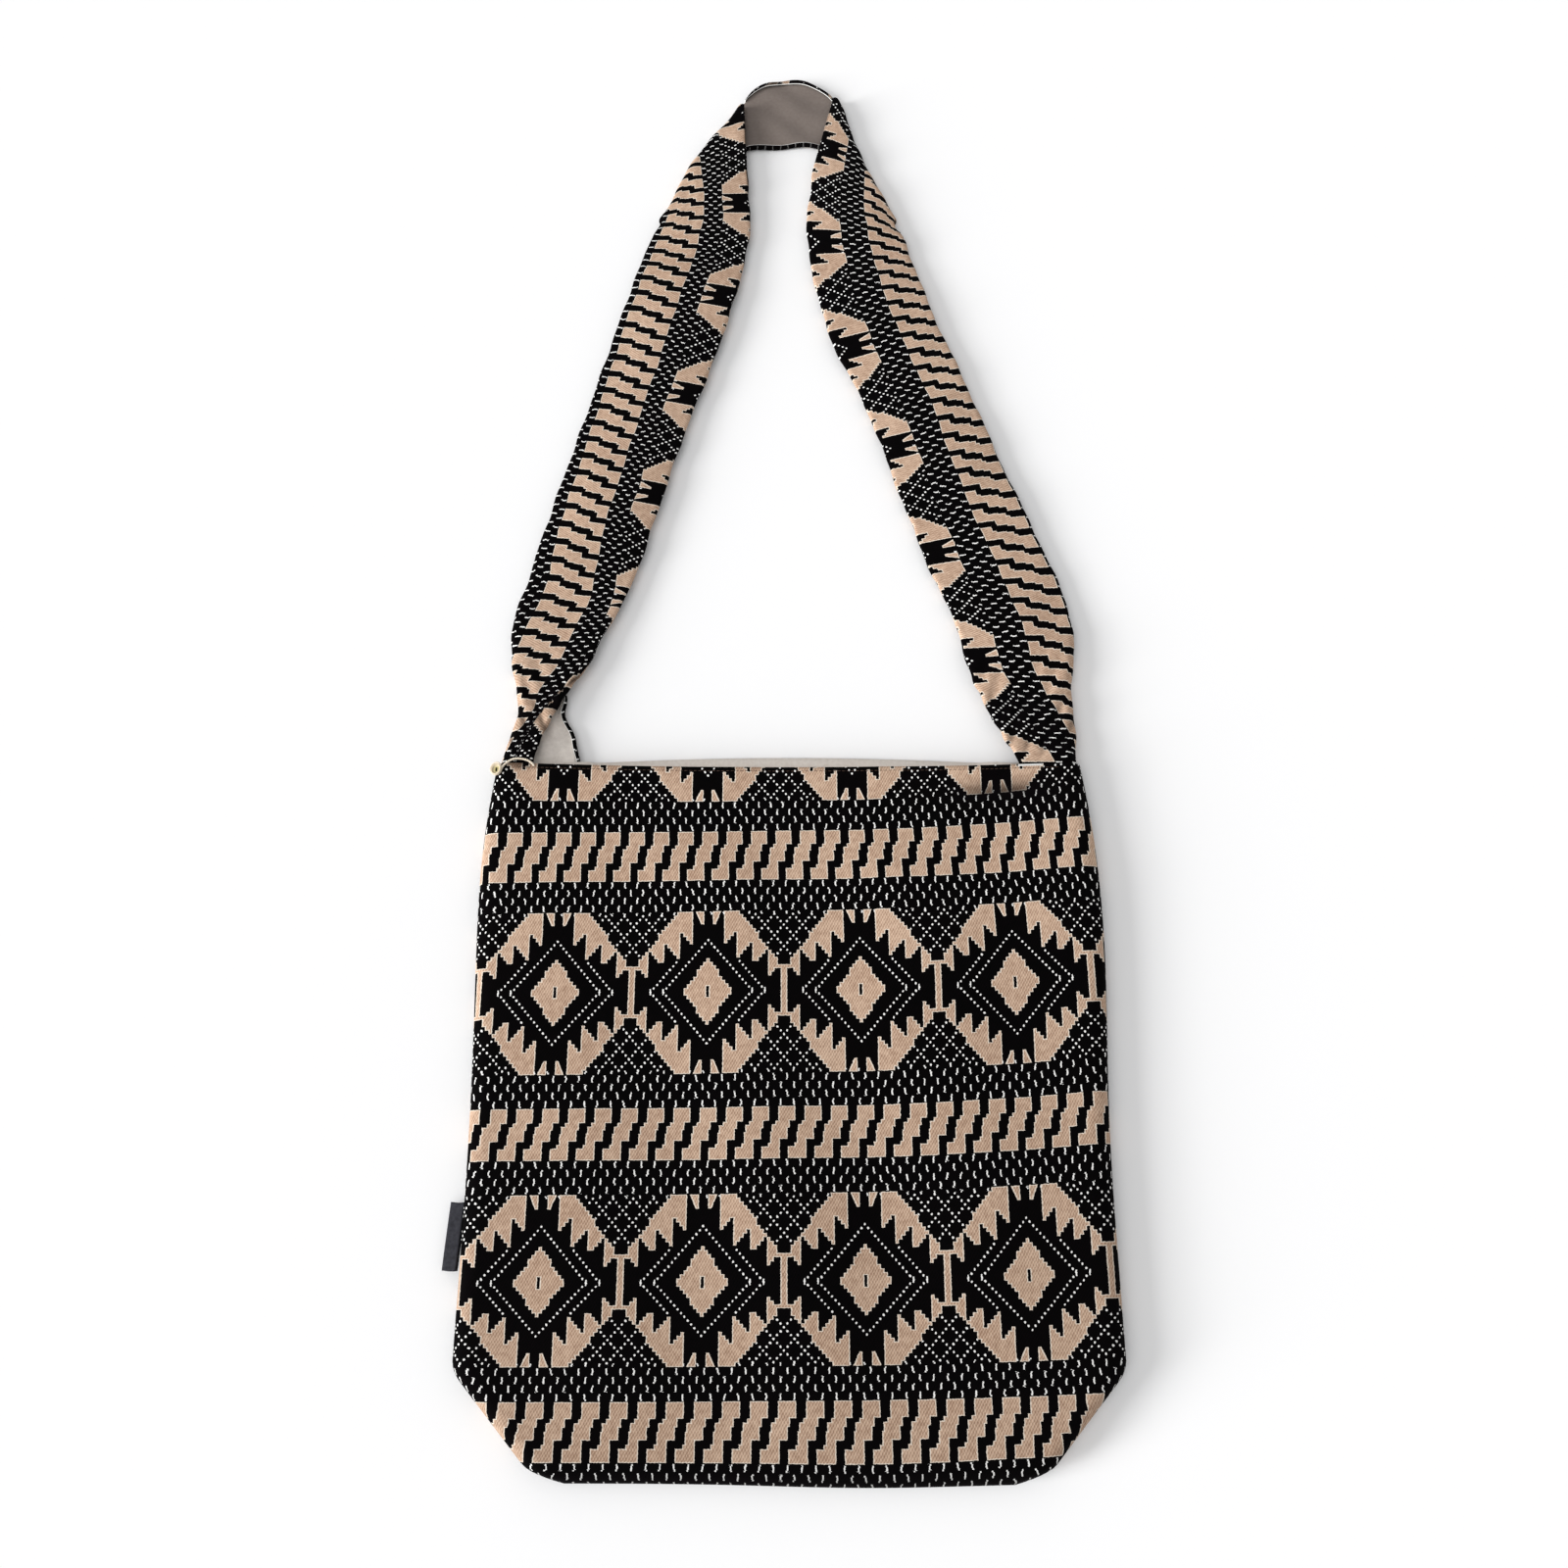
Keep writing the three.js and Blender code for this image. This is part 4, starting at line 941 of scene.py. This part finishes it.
cloudy = nodes.new("ShaderNodeTexNoise")
cloudy.inputs["Scale"].default_value = 500.0
tint = nodes.new("ShaderNodeMix")
tint.data_type = "RGBA"
tint.blend_type = "MULTIPLY"
tint.inputs[0].default_value = 0.35
horn.node_tree.links.new(ramp.outputs["Color"], tint.inputs[6])
horn.node_tree.links.new(cloudy.outputs["Color"], tint.inputs[7])
horn.node_tree.links.new(tint.outputs[2], shader.inputs["Base Color"])

BUTTON_PLACE = np.array([-188.6, 416.2, 13.2])
lean = np.array([-0.36, 0.0, 0.93])
lean /= np.linalg.norm(lean)
aside = np.cross(np.array([0.0, 1.0, 0.0]), lean)
aside /= np.linalg.norm(aside)
upward = np.cross(lean, aside)
turns = np.linspace(0.0, 2.0 * np.pi, 73)[:-1][None, :]
# rings of the disc: 11 over the dished middle, 9 over the rim and 5 back underneath
radii = np.concatenate([[0.02], np.linspace(0.25, 2.3, 10), np.linspace(2.5, 3.9, 9),
                        [4.0, 3.9, 3.5, 2.4, 0.02]])[:, None]
heights = np.concatenate([np.full(11, 1.45), 1.45 + 0.95 * np.sin(np.linspace(0.12, 2.9, 9)),
                          [1.2, 0.7, 0.25, 0.0, 0.0]])[:, None]
a, b = radii * np.cos(turns), radii * np.sin(turns)
hole = (1.0 - ease(np.abs(a + 0.1), 0.35, 0.75)) * (1.0 - ease(np.abs(b), 1.0, 1.6))
top_side = (np.arange(len(radii)) < 20)[:, None]
heights = heights + 0.0 * a - 1.1 * hole * top_side
disc = (BUTTON_PLACE + a[:, :, None] * aside + b[:, :, None] * upward
        + heights[:, :, None] * lean)
# the dial is 0 in the hole and runs out to 1 at the edge, for the colours above
dial = np.clip(radii / 4.0 + 0.0 * a, 0.0, 1.0)
dial = np.where(hole > 0.3, 0.05, np.maximum(dial, 0.22))
button = mesh_of("button_disc", disc, horn, closed=True)
layer = button.data.uv_layers.new(name="dial")
corners = np.empty(len(button.data.loops), dtype=np.int32)
button.data.loops.foreach_get("vertex_index", corners)
flat_dial = dial.ravel()[corners]
layer.data.foreach_set("uv", np.stack([flat_dial, flat_dial], axis=1).ravel())
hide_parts("corner_button")

# Button loop: a cream cord of two strands twisted together, wound once round the button's neck and
# led over the end of the strap to the front rim, where it is sewn down.
CORD = plain_weave("cream_cord", (240, 230, 214), (206, 190, 168), 0.0007)
NECK_RADIUS = 3.75
STRAND_TWIST = 3.2                               # millimetres along the cord for one turn
wind = np.linspace(-0.2 * np.pi, 2.25 * np.pi, 60)[:50]
height = np.linspace(0.75, 1.35, 60)[::-1][:50]
neck = (BUTTON_PLACE + np.array([-0.7, 0.9, 0.0])
        + NECK_RADIUS * (np.cos(wind)[:, None] * aside + np.sin(wind)[:, None] * upward)
        + lean * height[:, None])
way = [[-184.6, 418.6, 15.4], [-182.0, 420.7, 16.2], [-178.8, 422.4, 16.6], [-175.2, 422.9, 16.8],
       [-171.4, 422.4, 16.8], [-168.2, 421.3, 16.6], [-165.6, 419.4, 16.3], [-164.6, 417.9, 15.7]]
span = curve_through(way, 70)
path = np.concatenate([neck, span])
bead = np.concatenate([[0.0], np.cumsum(np.linalg.norm(np.diff(path, axis=0), axis=1))])
even = np.linspace(0.0, bead[-1], 260)
path = np.stack([np.interp(even, bead, path[:, k]) for k in range(3)], axis=1)
ahead = np.gradient(path, axis=0)
ahead /= np.linalg.norm(ahead, axis=1)[:, None]
over = np.cross(ahead, np.array([0.1, 0.2, 1.0]))
over /= np.linalg.norm(over, axis=1)[:, None]
third = np.cross(ahead, over)
ring = np.linspace(0.0, 2.0 * np.pi, 17)[:-1][None, :]
lobe = 0.5 + 0.26 * np.abs(np.cos(ring - even[:, None] * 2.0 * np.pi / STRAND_TWIST))
half_long = even[-1] / 2
tip = 1.0 - 0.9 * ease(np.abs(even - half_long), half_long - 0.25, half_long)
lobe = lobe * tip[:, None]
rope = (path[:, None, :] + lobe[:, :, None] * (np.cos(ring)[:, :, None] * over[:, None, :]
                                               + np.sin(ring)[:, :, None] * third[:, None, :]))
cord = mesh_of("loop_cord", rope, CORD, closed=True)
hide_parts("button_loop")
